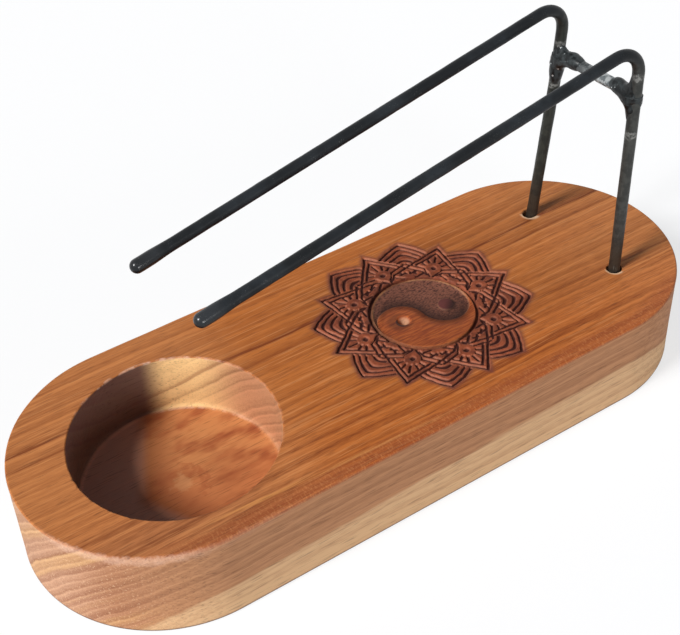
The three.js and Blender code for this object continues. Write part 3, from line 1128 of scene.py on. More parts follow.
@dataclass(frozen=True)
class Carving:
    """The carved mandala: an eight-petalled star over nested arches, round a yin and yang.

    Lines are given for half a petal, in its own axes: outwards along the petal and aside from
    it. The other half and the other petals repeat them.
    """

    x: float = 18.97
    y: float = 0.72
    petals: int = 8
    pitch: float = 0.18
    reach: float = 30.6
    outline: tuple = ((26.3, 0.0), (18.6, 6.0), (13.4, 9.6), (11.4, 9.7))
    inner: tuple = ((24.2, 0.0), (18.7, 4.5))
    outer: tuple = ((18.2, 7.95), (14.0, 10.8), (10.5, 9.9))
    strokes: tuple = (
        ((14.8, 5.7), (16.5, 4.0)),
        ((13.7, 4.0), (15.2, 2.4)),
        ((13.7, 7.8), (14.9, 6.8)),
    )
    eye: float = 17.8
    eye_radius: float = 1.0
    rays: tuple = ((0.0, 4.8), (30.0, 3.8), (60.0, 3.9))
    ray_start: float = 2.3
    arch_middle: tuple = (9.2, -10.6)
    arch_radius: float = 21.6
    arch_pitch: float = 1.35
    arch_round: float = 0.7
    arches: int = 5
    line_width: float = 1.0
    line_depth: float = 0.65
    ground_depth: float = 0.1
    ring_radius: float = 13.65
    ring_width: float = 1.1
    ring_depth: float = 1.2
    disc_radius: float = 12.95
    pit_at: tuple = (-6.07, 0.08)
    pit_depth: float = 1.2
    stud_at: tuple = (6.73, -0.62)
    stud_depth: float = 0.4
    # Where the pit's painted shadow is drawn, and where it is cut away to a crescent.
    pit_shadow_at: tuple = (-6.7, -0.3)
    pit_shadow_hole_at: tuple = (-5.85, 0.1)
    haze_at: tuple = (-7.4, 0.4)
    # Where the painted shadow beside the stud is centred.
    stud_shadow_at: tuple = (7.0, -0.9)
    # The way in which a flank that faces the lamp rises, for the carving's painted highlight.
    lit_way: tuple = (0.92, 0.38)
    # The way towards the ring's painted shadow.
    ring_shadow_way: tuple = (-0.85, 0.5)
    margin: float = 1.9

    def petal_axes(self, x: Array, y: Array) -> tuple[Array, Array]:
        """Folds plan points into half a petal.

        The angle is taken to its nearest petal's axis, and its sign is dropped.

        Args:
            x: Plan points from the mandala's middle.
            y: The same.

        Returns:
            The points in the petal's axes, outwards by aside in the last axis, and the same
            points in the axes of the arch beside it.
        """
        step = 2 * math.pi / self.petals
        radius, angle = np.hypot(x, y), np.arctan2(y, x)
        folded = np.abs((angle + step / 2) % step - step / 2)
        turned = folded, step / 2 - folded
        return tuple(np.stack([radius * np.cos(a), radius * np.sin(a)], axis=-1) for a in turned)

    def nearest_line(self, petal: Array, arch: Array) -> Array:
        """Distance to the nearest carved line.

        A line seen from the next petal is the same line mirrored in the axis between them, which
        is what the arch's axes give once they are turned by half a petal.

        Args:
            petal: Points in the petal's axes.
            arch: The same points in the arch's axes.

        Returns:
            The distances.
        """
        half = math.pi / self.petals
        turn = np.array([[math.cos(half), math.sin(half)], [-math.sin(half), math.cos(half)]])
        across = arch @ turn
        nearest = np.full(petal.shape[:-1], np.inf)
        for line in (self.outline, self.inner, self.outer, *self.strokes):
            for start, end in zip(line[:-1], line[1:]):
                for points in (petal, across):
                    apart = distance_to_segment(points, np.array(start), np.array(end))
                    nearest = np.minimum(nearest, apart)
        for turned, reach in self.rays:
            way = np.array([math.cos(math.radians(turned)), math.sin(math.radians(turned))])
            middle = np.array([self.eye, 0.0])
            ends = middle + self.ray_start * way, middle + reach * way
            nearest = np.minimum(nearest, distance_to_segment(petal, *ends))
        behind = self.beyond_petal(petal) > 0.5
        for index in range(self.arches):
            rounded = np.hypot(arch[..., 1], self.arch_round * index)
            from_middle = distance_to(arch[..., 0], rounded, self.arch_middle)
            apart = np.abs(from_middle - (self.arch_radius - index * self.arch_pitch))
            nearest = np.where(behind, np.minimum(nearest, apart), nearest)
        return nearest

    def beyond_petal(self, petal: Array) -> Array:
        """How far points lie outside the petal's outer edge.

        Args:
            petal: Points in the petal's axes.

        Returns:
            The distances, below 0 inside the petal.
        """
        tip, shoulder = np.array(self.outline[0]), np.array(self.outline[1])
        run = (shoulder - tip) / np.linalg.norm(shoulder - tip)
        return (petal - tip) @ np.array([run[1], -run[0]])

    def beyond_outline(self, petal: Array, arch: Array) -> Array:
        """How far points lie outside the whole carving. Inside it, the value is below 0."""
        arch_edge = np.linalg.norm(arch - np.array(self.arch_middle), axis=-1) - self.arch_radius
        return np.minimum(self.beyond_petal(petal), arch_edge) - self.line_width / 2

    def disc_height(self, x: Array, y: Array) -> tuple[Array, dict[str, Array]]:
        """The yin and yang, which fills the middle.

        The two halves meet on an S of two half circles. The far half is sunken most along the S
        and rises towards its outer edge. The near half is smooth and slopes down to the S.

        Args:
            x: Plan points from the mandala's middle.
            y: The same.

        Returns:
            The heights, 0 at the top face, and the finish's masks.
        """
        head = self.disc_radius / 2
        centre = np.hypot(x, y)
        left, right = distance_to(x, y, (-head, 0)), distance_to(x, y, (head, 0))
        far_left = np.minimum(centre, distance_to(x, y, (-2 * head, 0)))
        far_right = np.minimum(centre, distance_to(x, y, (2 * head, 0)))
        sunken = ((y > 0) & (left > head)) | (right < head)
        upper = np.where(y > 0, np.abs(left - head), far_left)
        to_curve = np.minimum(upper, np.where(y < 0, np.abs(right - head), far_right))
        to_edge = np.maximum(self.disc_radius - centre, 0)
        side = np.where(sunken, to_curve, -to_curve)
        inner = to_edge / (to_edge + np.abs(to_curve) + 1e-6)
        low = -0.3 - 0.95 * inner**0.8
        high = -0.15 - 0.4 * np.exp(-((to_curve / 1.6) ** 2))
        share = smooth(-0.3, 0.35, side)
        height = high * (1 - share) + low * share
        flat = np.stack([x, y, 0 * x], axis=-1)
        rows = lattice_noise(flat * (0.7, 3.5, 1) + 40, 5)
        rough = 0.7 * rows + 0.5 * lattice_noise(flat * (2.2, 2.2, 1) + 40, 6)
        height = height + 0.09 * share * rough
        near = np.exp(-((to_curve / (2.1 + 1.0 * share)) ** 2)) * smooth(0, 3, to_edge)
        scorch = near * (0.68 + 0.17 * share)
        scorch = scorch + 0.16 * share * smooth(0.5, 5.0, to_edge) * (1 - near)

        pit = distance_to(x, y, self.pit_at)
        height = height - self.pit_depth * smooth(2.2, 0.2, pit)
        # Painted shadow: a dark crescent on the pit's left side, whose wall faces away from the
        # lamp.
        pit_shadow = 0.92 * smooth(2.05, 1.6, distance_to(x, y, self.pit_shadow_at))
        pit_shadow = pit_shadow * smooth(1.5, 1.9, distance_to(x, y, self.pit_shadow_hole_at))
        haze = 0.5 * smooth(4.6, 2.0, distance_to(x, y, self.haze_at)) * smooth(1.7, 2.3, pit)
        stud = distance_to(x, y, self.stud_at)
        raised = smooth(2.35, 1.95, stud)
        dome = -self.stud_depth - 0.15 * (stud / 2) ** 2
        height = height * (1 - raised) + raised * dome
        # Painted shadow beside the stud, on its side away from the lamp.
        stud_shadow = 0.6 * smooth(3.0, 2.2, distance_to(x, y, self.stud_shadow_at))
        # The scorch mask gathers soot along the S and the painted shadows above.
        scorch = np.maximum.reduce([scorch, pit_shadow, haze, stud_shadow])
        # Painted shade on the stud, darker towards its side away from the lamp.
        aside = 0.62 * (x - self.stud_at[0]) - 0.78 * (y - self.stud_at[1])
        stud_shade = 0.85 * smooth(-0.8, 1.9, aside)
        scorch = scorch * (1 - raised) + stud_shade * raised
        masks = {
            Mask.CHAR.value: share * (1 - raised) * smooth(0.0, 0.5, to_edge),
            Mask.SCORCH_AND_SHADE.value: scorch,
            Mask.DISC.value: 1 - share,
            Mask.STUD.value: raised,
            # Pale wood in the pit, only on its right wall that faces the lamp: partly a painted
            # highlight.
            Mask.PIT_AND_HIGHLIGHT.value: smooth(1.8, 1.0, pit) * smooth(-7.3, -5.8, x),
        }
        return height, masks

    def surface(self, x: Array, y: Array) -> tuple[Array, dict[str, Array]]:
        """The carved surface over the block's top face.

        A line's groove is as deep as 1 less the 1.6th power of the share of its half width that
        a point lies aside.

        Args:
            x: Plan points from the mandala's middle.
            y: The same.

        Returns:
            The heights, 0 at the top face, and the finish's masks.
        """
        flat = np.stack([x, y, 0 * x], axis=-1)
        shake = [0.12 * lattice_noise(flat * 0.8 + 20, seed) for seed in (1, 2)]
        petal, arch = self.petal_axes(x + shake[0], y + shake[1])
        radius = np.hypot(x, y)
        beyond = self.beyond_outline(petal, arch)
        width = self.line_width * (1 + 0.15 * lattice_noise(flat * 0.5 + 10, 3))
        aside = self.nearest_line(petal, arch) / (width / 2)
        cut = 1 - np.clip(aside, 0, 1) ** 1.6
        eye = distance_to(petal[..., 0], petal[..., 1], (self.eye, 0))
        cut = np.where(eye < self.eye_radius + 1.1, smooth(self.eye_radius + 0.15, 0.2, eye), cut)
        cut = cut * smooth(self.ring_radius, self.ring_radius + 0.8, radius)
        ground = smooth(0.15, -0.15, beyond)
        height = -self.line_depth * cut * smooth(0.4, 0.0, beyond) - self.ground_depth * ground
        from_ring = radius - self.ring_radius
        in_ring = np.clip(1 - (np.abs(from_ring) / (self.ring_width / 2)) ** 3, 0, 1)
        disc, masks = self.disc_height(x, y)
        on_disc = smooth(self.ring_radius, self.disc_radius - 0.2, radius)
        height = height * (1 - on_disc) + disc * on_disc
        height = np.minimum(height, -self.ring_depth * in_ring)
        edge = smooth(self.margin - 0.1, self.margin - 0.8, beyond)

        values = {key: mask * on_disc for key, mask in masks.items()}
        # Painted shadow along the ring on the lamp's side, where the groove's outer wall shades it.
        toward = (self.ring_shadow_way[0] * x + self.ring_shadow_way[1] * y) / (radius + 1e-6)
        ring_shadow = 0.6 * smooth(0.1, 1.0, toward) * np.exp(-((from_ring / 1.5) ** 2))
        values[Mask.SCORCH_AND_SHADE.value] = np.maximum(values[Mask.SCORCH_AND_SHADE.value], ring_shadow)
        # Painted highlight: flanks that face the lamp turn pale, and lose most of the groove's
        # dark.
        rise = np.gradient(height, self.pitch)
        lit = smooth(0.6, 1.7, self.lit_way[0] * rise[0] + self.lit_way[1] * rise[1])
        flank = np.maximum(0.35 * smooth(0.0, 0.2, cut), lit) * ground * (1 - on_disc)
        outside = smooth(self.ring_radius + 0.4, self.ring_radius + 1.2, radius)
        values[Mask.RIDGE_AND_HIGHLIGHT.value] = flank * outside
        groove = np.maximum(cut * ground, 0.55 * smooth(0.1, 0.6, in_ring))
        values[Mask.GROOVE.value] = groove * (1 - 0.65 * lit)
        values[Mask.GROUND.value] = ground * (1 - on_disc)
        halo = np.exp(-((np.maximum(beyond, 0) / 0.8) ** 2))
        values[Mask.HALO.value] = halo * (1 - ground) * edge
        return height * edge, values


@dataclass
class Block:
    """The wooden block: its sides, the bowl, the two sockets and the carving."""

    wood: Wood
    carving: Carving = field(default_factory=Carving)
    height: float = 25.0
    top_round: float = 0.45
    front_round: float = 0.2
    worn_round: float = 0.6
    worn_turn: float = 243.0
    worn_spread: float = 30.0
    bottom_round: float = 0.5
    bowl_floor: float = 8.2
    bowl_fillet: float = 1.6
    rim_round: float = 0.3
    chips: tuple[float, float] = (0.4, 0.2)
    socket_radius: float = 1.95
    socket_bottom: float = 13.0
    end_steps: int = 132
    side_steps: int = 100
    bowl_steps: int = 256
    socket_steps: int = 48

    def build(self) -> bpy.types.Object:
        """Builds the whole block as one closed surface.

        Returns:
            The piece.
        """
        sides = self.sides()
        holes = [self.bowl()]
        holes += [self.socket(middle, chip) for middle, chip in zip(SOCKETS, self.chips)]
        skin = Skin().sweep(sides)
        for hole in holes:
            skin.sweep(hole, hollow=True)
        covered, border = self.add_carving(skin)
        rims = [rows[0][:, :2] for rows in (sides, *holes)]
        points, faces = filled(rims, [border], self.height, up=True)
        middle = points[faces].mean(axis=1)[:, :2]
        open_parts = covered(middle)
        for rim in rims[1:]:
            open_parts |= inside_loop(middle, rim)
        skin.add(points, faces[~open_parts], flat=True)
        skin.add(*filled([sides[-1][:, :2]], [], 0.0, up=False), flat=True)
        return skin.to_object("wood_block", self.wood.build())

    def sides(self) -> Array:
        """The block's outside, from the edge of its top face to the edge of its underside.

        Each row is the middle line of the stadium, moved along its normals by the radius less
        an inset. The inset follows a quarter circle at the top and at the bottom. The top's
        rounding grows where the left end is worn.

        Returns:
            Rows of points, rows by points by 3.
        """
        right = np.linspace(-90, 90, self.end_steps, endpoint=False)
        back = np.linspace(REACH, -REACH, self.side_steps, endpoint=False)
        turn = np.radians(np.concatenate([right, 0 * back + 90, right + 180, 0 * back + 270]))
        middle = np.concatenate([0 * right + REACH, back, 0 * right - REACH, -back])

        def row(inset: object, level: object) -> Array:
            """The stadium at an inset and a height."""
            return level_ring(turn, RADIUS - inset, level, (middle, 0.0))

        place = row(0, 0.0)
        worn = np.exp(-(((np.degrees(turn) - self.worn_turn) / self.worn_spread) ** 2))
        worn = worn * smooth(-20, -REACH, middle)
        slow = lattice_noise(place * 0.12 + 9, 11)
        rounding = self.top_round - self.front_round * np.minimum(np.sin(turn), 0)
        rounding = rounding + self.worn_round * worn + 0.08 * slow
        low, high = self.bottom_round, self.height - rounding
        rows = []
        for angle in quarter(6):
            inset = rounding * (1 - math.sin(angle))
            rows.append(row(inset, self.height - rounding * (1 - math.cos(angle))))
        for share in np.linspace(0, 1, 11)[1:-1]:
            level = high + (low - high) * share
            wave = lattice_noise(np.column_stack([place[:, :2], level]) * 0.2 + 13, 12)
            rows.append(row(0.05 + 0.05 * wave * math.sin(share * math.pi), level))
        for angle in quarter(4):
            rows.append(row(low * (1 - math.cos(angle)), low * (1 - math.sin(angle))))
        return np.array(rows)

    def bowl(self) -> Array:
        """The bowl, from its rim down the wall, round the fillet and in to the floor's middle.

        The radius is a circle's plus a cosine of twice the angle, which makes it slightly oval.
        The rim is frayed by fine noise, and the wall and the floor wave by a few hundredths.

        Returns:
            Rows of points, rows by points by 3.
        """
        turn = full_turn(self.bowl_steps)
        radius = BOWL_RADIUS + BOWL_OVAL * np.cos(2 * (turn - math.radians(BOWL_TURN)))
        fine = level_ring(turn, BOWL_RADIUS)
        fray = np.maximum(lattice_noise(fine * 1.6 + 50, 21), 0) ** 3
        fray = fray + 0.3 * np.maximum(lattice_noise(fine * 0.7 + 50, 22), 0)
        rounding = self.rim_round + 0.5 * fray
        high, low = self.height - rounding, self.bowl_floor + self.bowl_fillet
        profile = []
        for angle in quarter(5):
            drop = rounding * (1 - math.cos(angle))
            profile.append((radius + rounding * (1 - math.sin(angle)), self.height - drop))
        for share in np.linspace(0, 1, 9)[1:]:
            wave = 0.04 * lattice_noise(fine * 0.25 + (50, 50, 9 * share), 23)
            profile.append((radius + wave, high + (low - high) * share))
        for angle in quarter(6)[1:]:
            level = self.bowl_floor + self.bowl_fillet * (1 - math.sin(angle))
            profile.append((radius - self.bowl_fillet * (1 - math.cos(angle)), level))
        for share in np.linspace(1, 0, 15)[1:]:
            out = (radius - self.bowl_fillet) * share
            wave = 0.05 * lattice_noise(level_ring(turn, out) * 0.3 + 50, 24) * share
            profile.append((out, self.bowl_floor + wave))
        return np.array([level_ring(turn, out, level, BOWL) for out, level in profile])

    def socket(self, middle: tuple[float, float], chip: float) -> Array:
        """A drilled hole whose rim is chipped on the bowl's side.

        Args:
            middle: Where its axis stands.
            chip: How far the chips reach out.

        Returns:
            Rows of points, rows by points by 3.
        """
        turn = full_turn(self.socket_steps)
        ragged = lattice_noise(level_ring(turn, 3, middle[0]) + 9, 31)
        toward = smooth(0.0, 1.0, -np.cos(turn)) * chip * (1 + 0.5 * ragged)
        rows = []
        for flare, spread, drop in (
            (0.08, 1.0, 0.0),
            (0.0, 0.75, 0.2),
            (0.0, 0.3, 0.55),
            (0.0, 0.0, 1.0),
            (0.0, 0.0, 6.0),
            (0.0, 0.0, 11.6),
        ):
            rows.append((self.socket_radius + flare + toward * spread, self.height - drop))
        rows += [(0.9 * self.socket_radius, self.socket_bottom), (0, self.socket_bottom)]
        return np.array([level_ring(turn, out, level, middle) for out, level in rows])

    def add_carving(self, skin: Skin) -> tuple:
        """Adds the carved patch as a fine square grid, cut off just outside the carving.

        Args:
            skin: Where to add it.

        Returns:
            A test of which plan points the patch covers, and the edges of its border.
        """
        carving = self.carving
        count = int(2 * carving.reach / carving.pitch)
        line = (np.arange(count + 1) - count / 2) * carving.pitch
        x, y = np.meshgrid(line, line, indexing="ij")
        height, values = carving.surface(x, y)
        beyond = carving.beyond_outline(*carving.petal_axes(x, y)) < carving.margin
        used = beyond[:-1, :-1] & beyond[1:, :-1] & beyond[1:, 1:] & beyond[:-1, 1:]
        index = np.arange(x.size).reshape(x.shape)
        corners = [index[:-1, :-1], index[1:, :-1], index[1:, 1:], index[:-1, 1:]]
        faces = np.stack(corners, axis=-1)[used]
        padded = np.pad(used, 1)
        around = [padded[1:-1, :-2], padded[2:, 1:-1], padded[1:-1, 2:], padded[:-2, 1:-1]]
        pairs = []
        for k in range(4):
            ends = np.stack([corners[k], corners[(k + 1) % 4]], axis=-1)
            pairs.append(ends[used & ~around[k]])
        pairs = np.concatenate(pairs)
        level = self.height + height
        level.reshape(-1)[pairs.reshape(-1)] = self.height
        points = np.stack([carving.x + x, carving.y + y, level], axis=-1).reshape(-1, 3)
        kept, renamed = np.unique(faces, return_inverse=True)
        masks = {key: value.reshape(-1)[kept] for key, value in values.items()}
        skin.add(points[kept], renamed.reshape(-1, 4), values=masks)

        def covered(plan: Array) -> Array:
            """Whether points fall in the patch.

            Args:
                plan: Plan points, n by 2.

            Returns:
                One truth value for each point.
            """
            cell = np.floor((plan - (carving.x, carving.y) - line[0]) / carving.pitch).astype(int)
            within = ((cell >= 0) & (cell < count)).all(axis=-1)
            cell = np.clip(cell, 0, count - 1)
            return within & used[cell[:, 0], cell[:, 1]]

        return covered, points[pairs][:, :, :2]


class Side(Enum):
    """The holder's two rods. The value is the side of the middle line."""

    LEFT = 1
    RIGHT = -1


@dataclass(frozen=True)
class Rod:
    """One bent rod: leg, bend and arm, with paint set thick at the tip."""

    side: Side
    socket: tuple[float, float]
    forward: float
    inward: float
    apex: float
    drop: float
    tip_x: float
    kink: float
    kink_heights: tuple[float, float, float] = (25.0, 66.0, 84.0)
    radius: float = 1.5
    bend: float = 6.5
    foot: float = 13.3
    foot_round: tuple = ((0.0, 0.0), (0.0, 1.2), (0.25, 1.45))
    pivot: float = 19.0
    tip_radius: float = 1.75
    swell_length: float = 9.0
    swell_full: float = 2.5
    swell_steps: tuple = (8.4, 7.6, 6.8, 6.0, 5.2, 4.4, 3.5, 2.3, 1.1, 0.0)
    leg_steps: int = 50
    bend_steps: int = 15
    arm_steps: int = 70
    around: int = 36

    def leg_at(self, height: float) -> Array:
        """The straight leg's centre line.

        Args:
            height: Where to take it.

        Returns:
            The point.
        """
        above = height - self.pivot
        forward = math.tan(math.radians(self.forward)) * above
        inward = math.tan(math.radians(self.inward)) * above
        x, y = self.socket
        return np.array([x + forward, y - self.side.value * inward, height])

    def frame(self) -> tuple[Array, Array, Array, Array, float]:
        """The two straight parts' directions.

        Returns:
            The leg's direction, the arm's direction, the direction from the leg into the bend,
            the normal of the rod's plane, and the bend's angle.
        """
        up = self.leg_at(self.apex) - self.leg_at(self.foot)
        up = up / np.linalg.norm(up)
        drop = math.radians(self.drop)
        out = np.array([-math.cos(drop), 0.0, -math.sin(drop)])
        inwards = out - up * (out @ up)
        inwards = inwards / np.linalg.norm(inwards)
        return up, out, inwards, np.cross(up, inwards), math.acos(up @ out)

    def path(self) -> tuple[Array, Array, Array]:
        """The centre line, station by station: up the leg, round the bend and down the arm.

        The leg is kinked: it bows forwards by a share of two straight slopes that meet at the
        kink's height.

        Returns:
            Points, unit tangents, and radii. The first and last radii are 0.
        """
        up, out, inwards, _, turn = self.frame()
        apex, foot = self.leg_at(self.apex), self.leg_at(self.foot)
        start = apex - up * self.bend * math.tan(turn / 2)
        length = (start - foot) @ up
        rows = [(foot + up * rise, up, radius) for rise, radius in self.foot_round]
        low, middle, high = self.kink_heights
        for share in np.linspace(0.03, 1, self.leg_steps):
            level = foot[2] + length * share
            slopes = min((level - low) / (middle - low), (high - level) / (high - middle))
            bow = self.kink * max(slopes, 0.0)
            rows.append((foot + up * length * share - inwards * bow, up, self.radius))
        for angle in turn * np.linspace(0, 1, self.bend_steps)[1:]:
            place = start + up * self.bend * math.sin(angle)
            place = place + inwards * self.bend * (1 - math.cos(angle))
            rows.append((place, up * math.cos(angle) + inwards * math.sin(angle), self.radius))
        begin = rows[-1][0]
        tip = apex + out * ((self.tip_x - apex[0]) / out[0])
        run = (tip - begin) @ out
        even = np.linspace(2, run - self.swell_length, self.arm_steps)
        for along in np.concatenate([even, run - np.array(self.swell_steps)]):
            swell = float(smooth(run - self.swell_length, run - self.swell_full, along))
            radius = self.radius + (self.tip_radius - self.radius) * swell
            rows.append((begin + out * along, out, radius))
        for angle in quarter(7)[1:]:
            place = tip + out * self.tip_radius * math.sin(angle)
            rows.append((place, out, self.tip_radius * math.cos(angle)))
        return tuple(np.array(part) for part in zip(*rows))

    def build(self, name: str, material: Material) -> bpy.types.Object:
        """Builds the rod as a circle carried along its path.

        A row's circle lies in the plane of the rod's normal and of that normal crossed with the
        tangent. Slow noise makes the wire a little uneven.

        Args:
            name: The piece's name.
            material: Its material.

        Returns:
            The piece.
        """
        places, tangents, radii = self.path()
        normal = self.frame()[3]
        ring = cross_rings(full_turn(self.around), np.cross(normal, tangents), normal)
        rows = places[:, None] + radii[:, None, None] * ring
        uneven = 0.035 * lattice_noise(rows * 0.35 + 60, 41 + self.side.value)
        uneven = uneven * smooth(0.5, 1.4, radii)[:, None]
        return Skin().sweep(rows + uneven[..., None] * ring).to_object(name, material)


@dataclass(frozen=True)
class Weld:
    """A weld bead where the cross bar meets a leg."""

    rod: Rod
    bar_height: float
    sleeve: tuple[float, float, float]
    lump: tuple[float, float, float]
    sleeve_offset: float = 0.55
    middle_inwards: float = 1.0
    middle_down: float = 1.2
    blend: float = 3.4
    blend_above: float = 0.35
    furthest: float = 12.0
    nearest: float = 0.1
    steps: int = 120
    halvings: int = 10
    around: int = 72
    rows: int = 48

    def spindle(
        self, points: Array, along: Array, axis: Array, size: tuple[float, float, float]
    ) -> Array:
        """Distance to a spindle, whose radius falls to 0 at both ends.

        Args:
            points: Points from the axis's start.
            along: How far they lie along the axis.
            axis: Its direction.
            size: Where its middle is along the axis, half its length, and its radius there.

        Returns:
            The distances from the axis's nearest point, less the radius there.
        """
        middle, half, thick = size
        nearest = np.clip(along, middle - half, middle + half)
        radius = thick * np.sqrt(np.maximum(1 - ((nearest - middle) / half) ** 2, 0)) ** 0.7
        return np.linalg.norm(points - nearest[..., None] * axis, axis=-1) - radius

    def build(self, name: str, inwards: Array, material: Material) -> bpy.types.Object:
        """Builds the bead as the outermost surface round its middle.

        The solid is where the smaller of two values, smoothly blended, is below 0. Each value is
        the distance from an axis, less a spindle's radius at that point of the axis. Rays from
        the middle are followed inwards until they meet the solid, and halved down to the surface.

        Args:
            name: The piece's name.
            inwards: The cross bar's direction, away from the leg.
            material: Its material.

        Returns:
            The piece.
        """
        up = self.rod.frame()[0]
        at = self.rod.leg_at(self.bar_height)
        middle = at + inwards * self.middle_inwards - up * self.middle_down
        polar = np.linspace(0, np.pi, self.rows)[:, None, None]
        ring = cross_rings(full_turn(self.around), inwards, np.cross(up, inwards))
        rays = np.sin(polar) * ring + np.cos(polar) * up

        def solid(reach: Array) -> Array:
            """The blended value on every ray.

            Args:
                reach: How far out to take it, one for each ray.

            Returns:
                The values, below 0 inside the bead.
            """
            points = middle + reach[..., None] * rays - at
            along_leg, along_bar = points @ up, points @ inwards
            leg = self.spindle(points - self.sleeve_offset * inwards, along_leg, up, self.sleeve)
            bar = self.spindle(points, along_bar, inwards, self.lump)
            share = np.clip(0.5 + 0.5 * (bar - leg) / self.blend, 0, 1)
            weight = self.blend_above + (1 - self.blend_above) * (along_leg < 0)
            return bar + (leg - bar) * share - self.blend * share * (1 - share) * weight

        steps = np.linspace(self.furthest, self.nearest, self.steps)
        inside = np.array([solid(np.full(rays.shape[:2], step)) < 0 for step in steps])
        first = inside.argmax(axis=0)
        inner, far = steps[first], steps[np.maximum(first - 1, 0)]
        for _ in range(self.halvings):
            half_way = (inner + far) / 2
            hit = solid(half_way) < 0
            inner, far = np.where(hit, half_way, inner), np.where(hit, far, half_way)
        surface = middle + far[..., None] * rays
        lumps = lattice_noise(surface * 0.55 + 70, 51 + self.rod.side.value)
        beads = lattice_noise(surface * 1.3 + 70, 53 + self.rod.side.value)
        reach = far + 0.25 * lumps + 0.07 * beads
        reach[0], reach[-1] = reach[0].mean(), reach[-1].mean()
        return Skin().sweep(middle + reach[..., None] * rays).to_object(name, material)


@dataclass
class Holder:
    """The wire holder: two bent rods, the bar between their legs, and the two welds."""

    left: Rod = Rod(
        side=Side.LEFT,
        socket=SOCKETS[0],
        forward=3.4,
        inward=2.2,
        apex=90.0,
        drop=12.2,
        tip_x=-50.0,
        kink=0.5,
    )
    right: Rod = Rod(
        side=Side.RIGHT,
        socket=SOCKETS[1],
        forward=0.7,
        inward=1.0,
        apex=90.5,
        drop=11.25,
        tip_x=-48.9,
        kink=0.0,
    )
    left_height: float = 74.8
    right_height: float = 76.6
    bar_radius: float = 1.5
    bar_sag: float = 0.25
    bar_gap: float = 0.045
    bar_steps: int = 40
    bar_around: int = 32

    def build(self) -> None:
        """Builds the rods, the bar and the welds, and lets them ride on the holder."""
        mottle, scuffs = mottle_group(), scuff_group()
        paint = BlackPaint().build(mottle, scuffs)
        steel = BareSteel().build(mottle, scuffs)
        bead = WeldMetal().build(mottle)
        start, end = self.left.leg_at(self.left_height), self.right.leg_at(self.right_height)
        along = (end - start) / np.linalg.norm(end - start)
        settle(self.left.build("left_wire", paint), "left_rod", "holder")
        settle(self.right.build("right_wire", paint), "right_rod", "holder")
        settle(self.bar(start, end, along, steel), "cross_bar", "holder")
        left_weld = Weld(self.left, self.left_height, (-2.7, 5.9, 1.95), (5.4, 4.6, 2.1))
        right_weld = Weld(self.right, self.right_height, (-1.0, 6.6, 1.95), (4.5, 4.2, 2.05))
        left_bead = left_weld.build("left_bead", along, bead)
        right_bead = right_weld.build("right_bead", -along, bead)
        settle(left_bead, "left_weld", "holder")
        settle(right_bead, "right_weld", "holder")

    def bar(self, start: Array, end: Array, along: Array, steel: Material) -> bpy.types.Object:
        """The bar, a circle carried between the legs, which sags a little in the middle.

        Args:
            start: The left leg's centre line at the bar's height.
            end: The right leg's.
            along: The direction from start to end.
            steel: The bar's material.

        Returns:
            The piece.
        """
        share = np.linspace(self.bar_gap, 1 - self.bar_gap, self.bar_steps)
        share = np.concatenate([share[:1], share, share[-1:]])
        radius = np.full(len(share), self.bar_radius)
        radius[[0, -1]] = 0
        upright = np.array([0.0, 0.0, 1.0])
        sag = self.bar_sag * np.sin(share * np.pi)
        places = start + share[:, None] * (end - start) - sag[:, None] * upright
        side = np.cross(upright, along)
        side = side / np.linalg.norm(side)
        ring = cross_rings(full_turn(self.bar_around), side, np.cross(along, side))
        rows = places[:, None] + radius[:, None, None] * ring
        uneven = 0.06 * lattice_noise(rows * 0.5 + 80, 61) * (radius[:, None] > 0)
        skin = Skin().sweep(rows + uneven[..., None] * ring, hollow=True)
        return skin.to_object("middle_bar", steel)


def settle(piece: bpy.types.Object, node: str, body: str) -> None:
    """Lets a piece ride on a body in place of a CAD node, and reports it.

    Args:
        piece: The piece, in place.
        node: The CAD node that it stands for.
        body: The body that it moves with.
    """
    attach(piece, body)
    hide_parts(node)
    log.info("%s: %d faces", piece.name, len(piece.data.polygons))


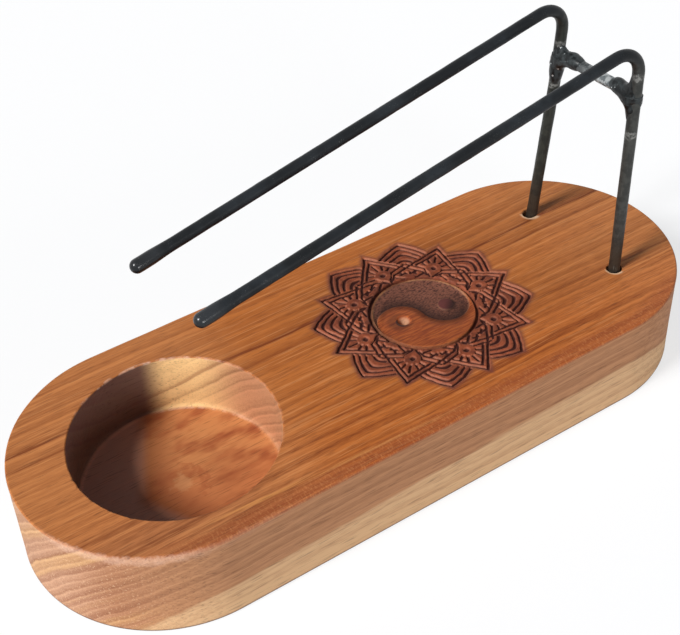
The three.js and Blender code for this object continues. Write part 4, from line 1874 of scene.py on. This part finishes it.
@dataclass(frozen=True)
class Studio:
    """The floor, the light and the camera."""

    floor_size: float = 6.0
    floor_share: float = 0.65
    floor_glow: float = 1.12
    floor_tone: float = 0.8
    key_from: tuple[float, float, float] = (-0.77, -0.05, 0.64)
    key_power: float = 3.9
    key_spread: float = 16.0
    fill_from: tuple[float, float, float] = (-0.1, -1.0, 0.16)
    fill_spread: float = 16.0
    fill_power: float = 1.2
    sky: float = 0.1
    sky_tone: Colour = (0.8, 0.95, 1.25, 1.0)
    lens: float = 71.23
    sensor: float = 36.0
    nearest_seen: float = 0.01
    camera_at: tuple[float, float, float] = (-0.13704, -0.20607, 0.24789)
    camera_right: tuple[float, float, float] = (0.82961, -0.55746, -0.03141)
    camera_up: tuple[float, float, float] = (0.38534, 0.53093, 0.75475)
    camera_back: tuple[float, float, float] = (-0.40406, -0.63825, 0.65527)

    def build(self) -> None:
        """Builds the floor, the lamps, the world and the camera."""
        self.floor()
        self.lamp("key", self.key_from, self.key_power, self.key_spread)
        self.lamp("fill", self.fill_from, self.fill_power, self.fill_spread)
        self.world()
        self.camera()
        bpy.context.scene.view_settings.view_transform = "Standard"

    def seen_directly(self, graph: Graph) -> Socket:
        """Finds out what the camera sees directly, in a reflection or through glass.

        Args:
            graph: The graph of the floor or the world.

        Returns:
            1 for what it sees, and 0 for the light that falls on other things.
        """
        path = graph.node("LightPath").outputs
        either = graph.math("MAXIMUM", path["Is Camera Ray"], path["Is Glossy Ray"])
        return graph.math("MAXIMUM", either, path["Is Transmission Ray"])

    def floor(self) -> None:
        """A pale floor, which glows where it is seen so that it is white and keeps the shadow."""
        half = self.floor_size / 2
        mesh = bpy.data.meshes.new("floor")
        corners = [(-half, -half, 0), (half, -half, 0), (half, half, 0), (-half, half, 0)]
        mesh.from_pydata(corners, [], [(0, 1, 2, 3)])
        material, graph, shader = new_material("floor")
        shader.inputs["Base Color"].default_value = (self.floor_tone,) * 3 + (1,)
        shader.inputs["Roughness"].default_value = 1.0
        shader.inputs["Specular IOR Level"].default_value = 0.0
        glow = graph.node("Emission", {"Color": WHITE, "Strength": self.floor_glow})
        share = graph.times(self.seen_directly(graph), self.floor_share)
        mixed = graph.node("MixShader", {0: share, 1: shader.outputs[0], 2: glow.outputs[0]})
        graph.feed(graph.existing("OUTPUT_MATERIAL").inputs["Surface"], mixed.outputs[0])
        mesh.materials.append(material)
        placed("floor", mesh)

    def lamp(
        self, name: str, source: tuple[float, float, float], power: float, spread: float
    ) -> None:
        """Adds a soft lamp that is far away.

        Args:
            name: Its name.
            source: The direction it stands in.
            power: Its strength.
            spread: The angle that it covers in the sky, in degrees.
        """
        light = bpy.data.lights.new(name, "SUN")
        light.energy = power
        light.angle = math.radians(spread)
        placed(name, light).rotation_euler = Vector(source).to_track_quat("Z", "Y").to_euler()

    def world(self) -> None:
        """A faint even sky that is white where it is seen directly."""
        world = bpy.data.worlds.new("studio")
        world.use_nodes = True
        bpy.context.scene.world = world
        graph = Graph(world.node_tree)
        background = graph.existing("BACKGROUND")
        seen = self.seen_directly(graph)
        graph.feed(background.inputs["Color"], graph.mix(seen, self.sky_tone, WHITE))
        graph.feed(background.inputs["Strength"], graph.line(seen, 1 - self.sky, self.sky))

    def camera(self) -> None:
        """Places the camera where the photograph was taken from."""
        lens = bpy.data.cameras.new("camera")
        lens.lens = self.lens
        lens.sensor_width = self.sensor
        lens.clip_start = self.nearest_seen
        axes = Matrix([self.camera_right, self.camera_up, self.camera_back]).transposed()
        camera = placed("camera", lens)
        camera.matrix_world = Matrix.Translation(self.camera_at) @ axes.to_4x4()
        bpy.context.scene.camera = camera


def main() -> None:
    """Builds the block, the holder and the studio."""
    logging.basicConfig(level=logging.INFO, format="%(name)s: %(message)s")
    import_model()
    settle(Block(Wood()).build(), "wood_base", "base")
    Holder().build()
    Studio().build()


if __name__ == "__main__":
    main()
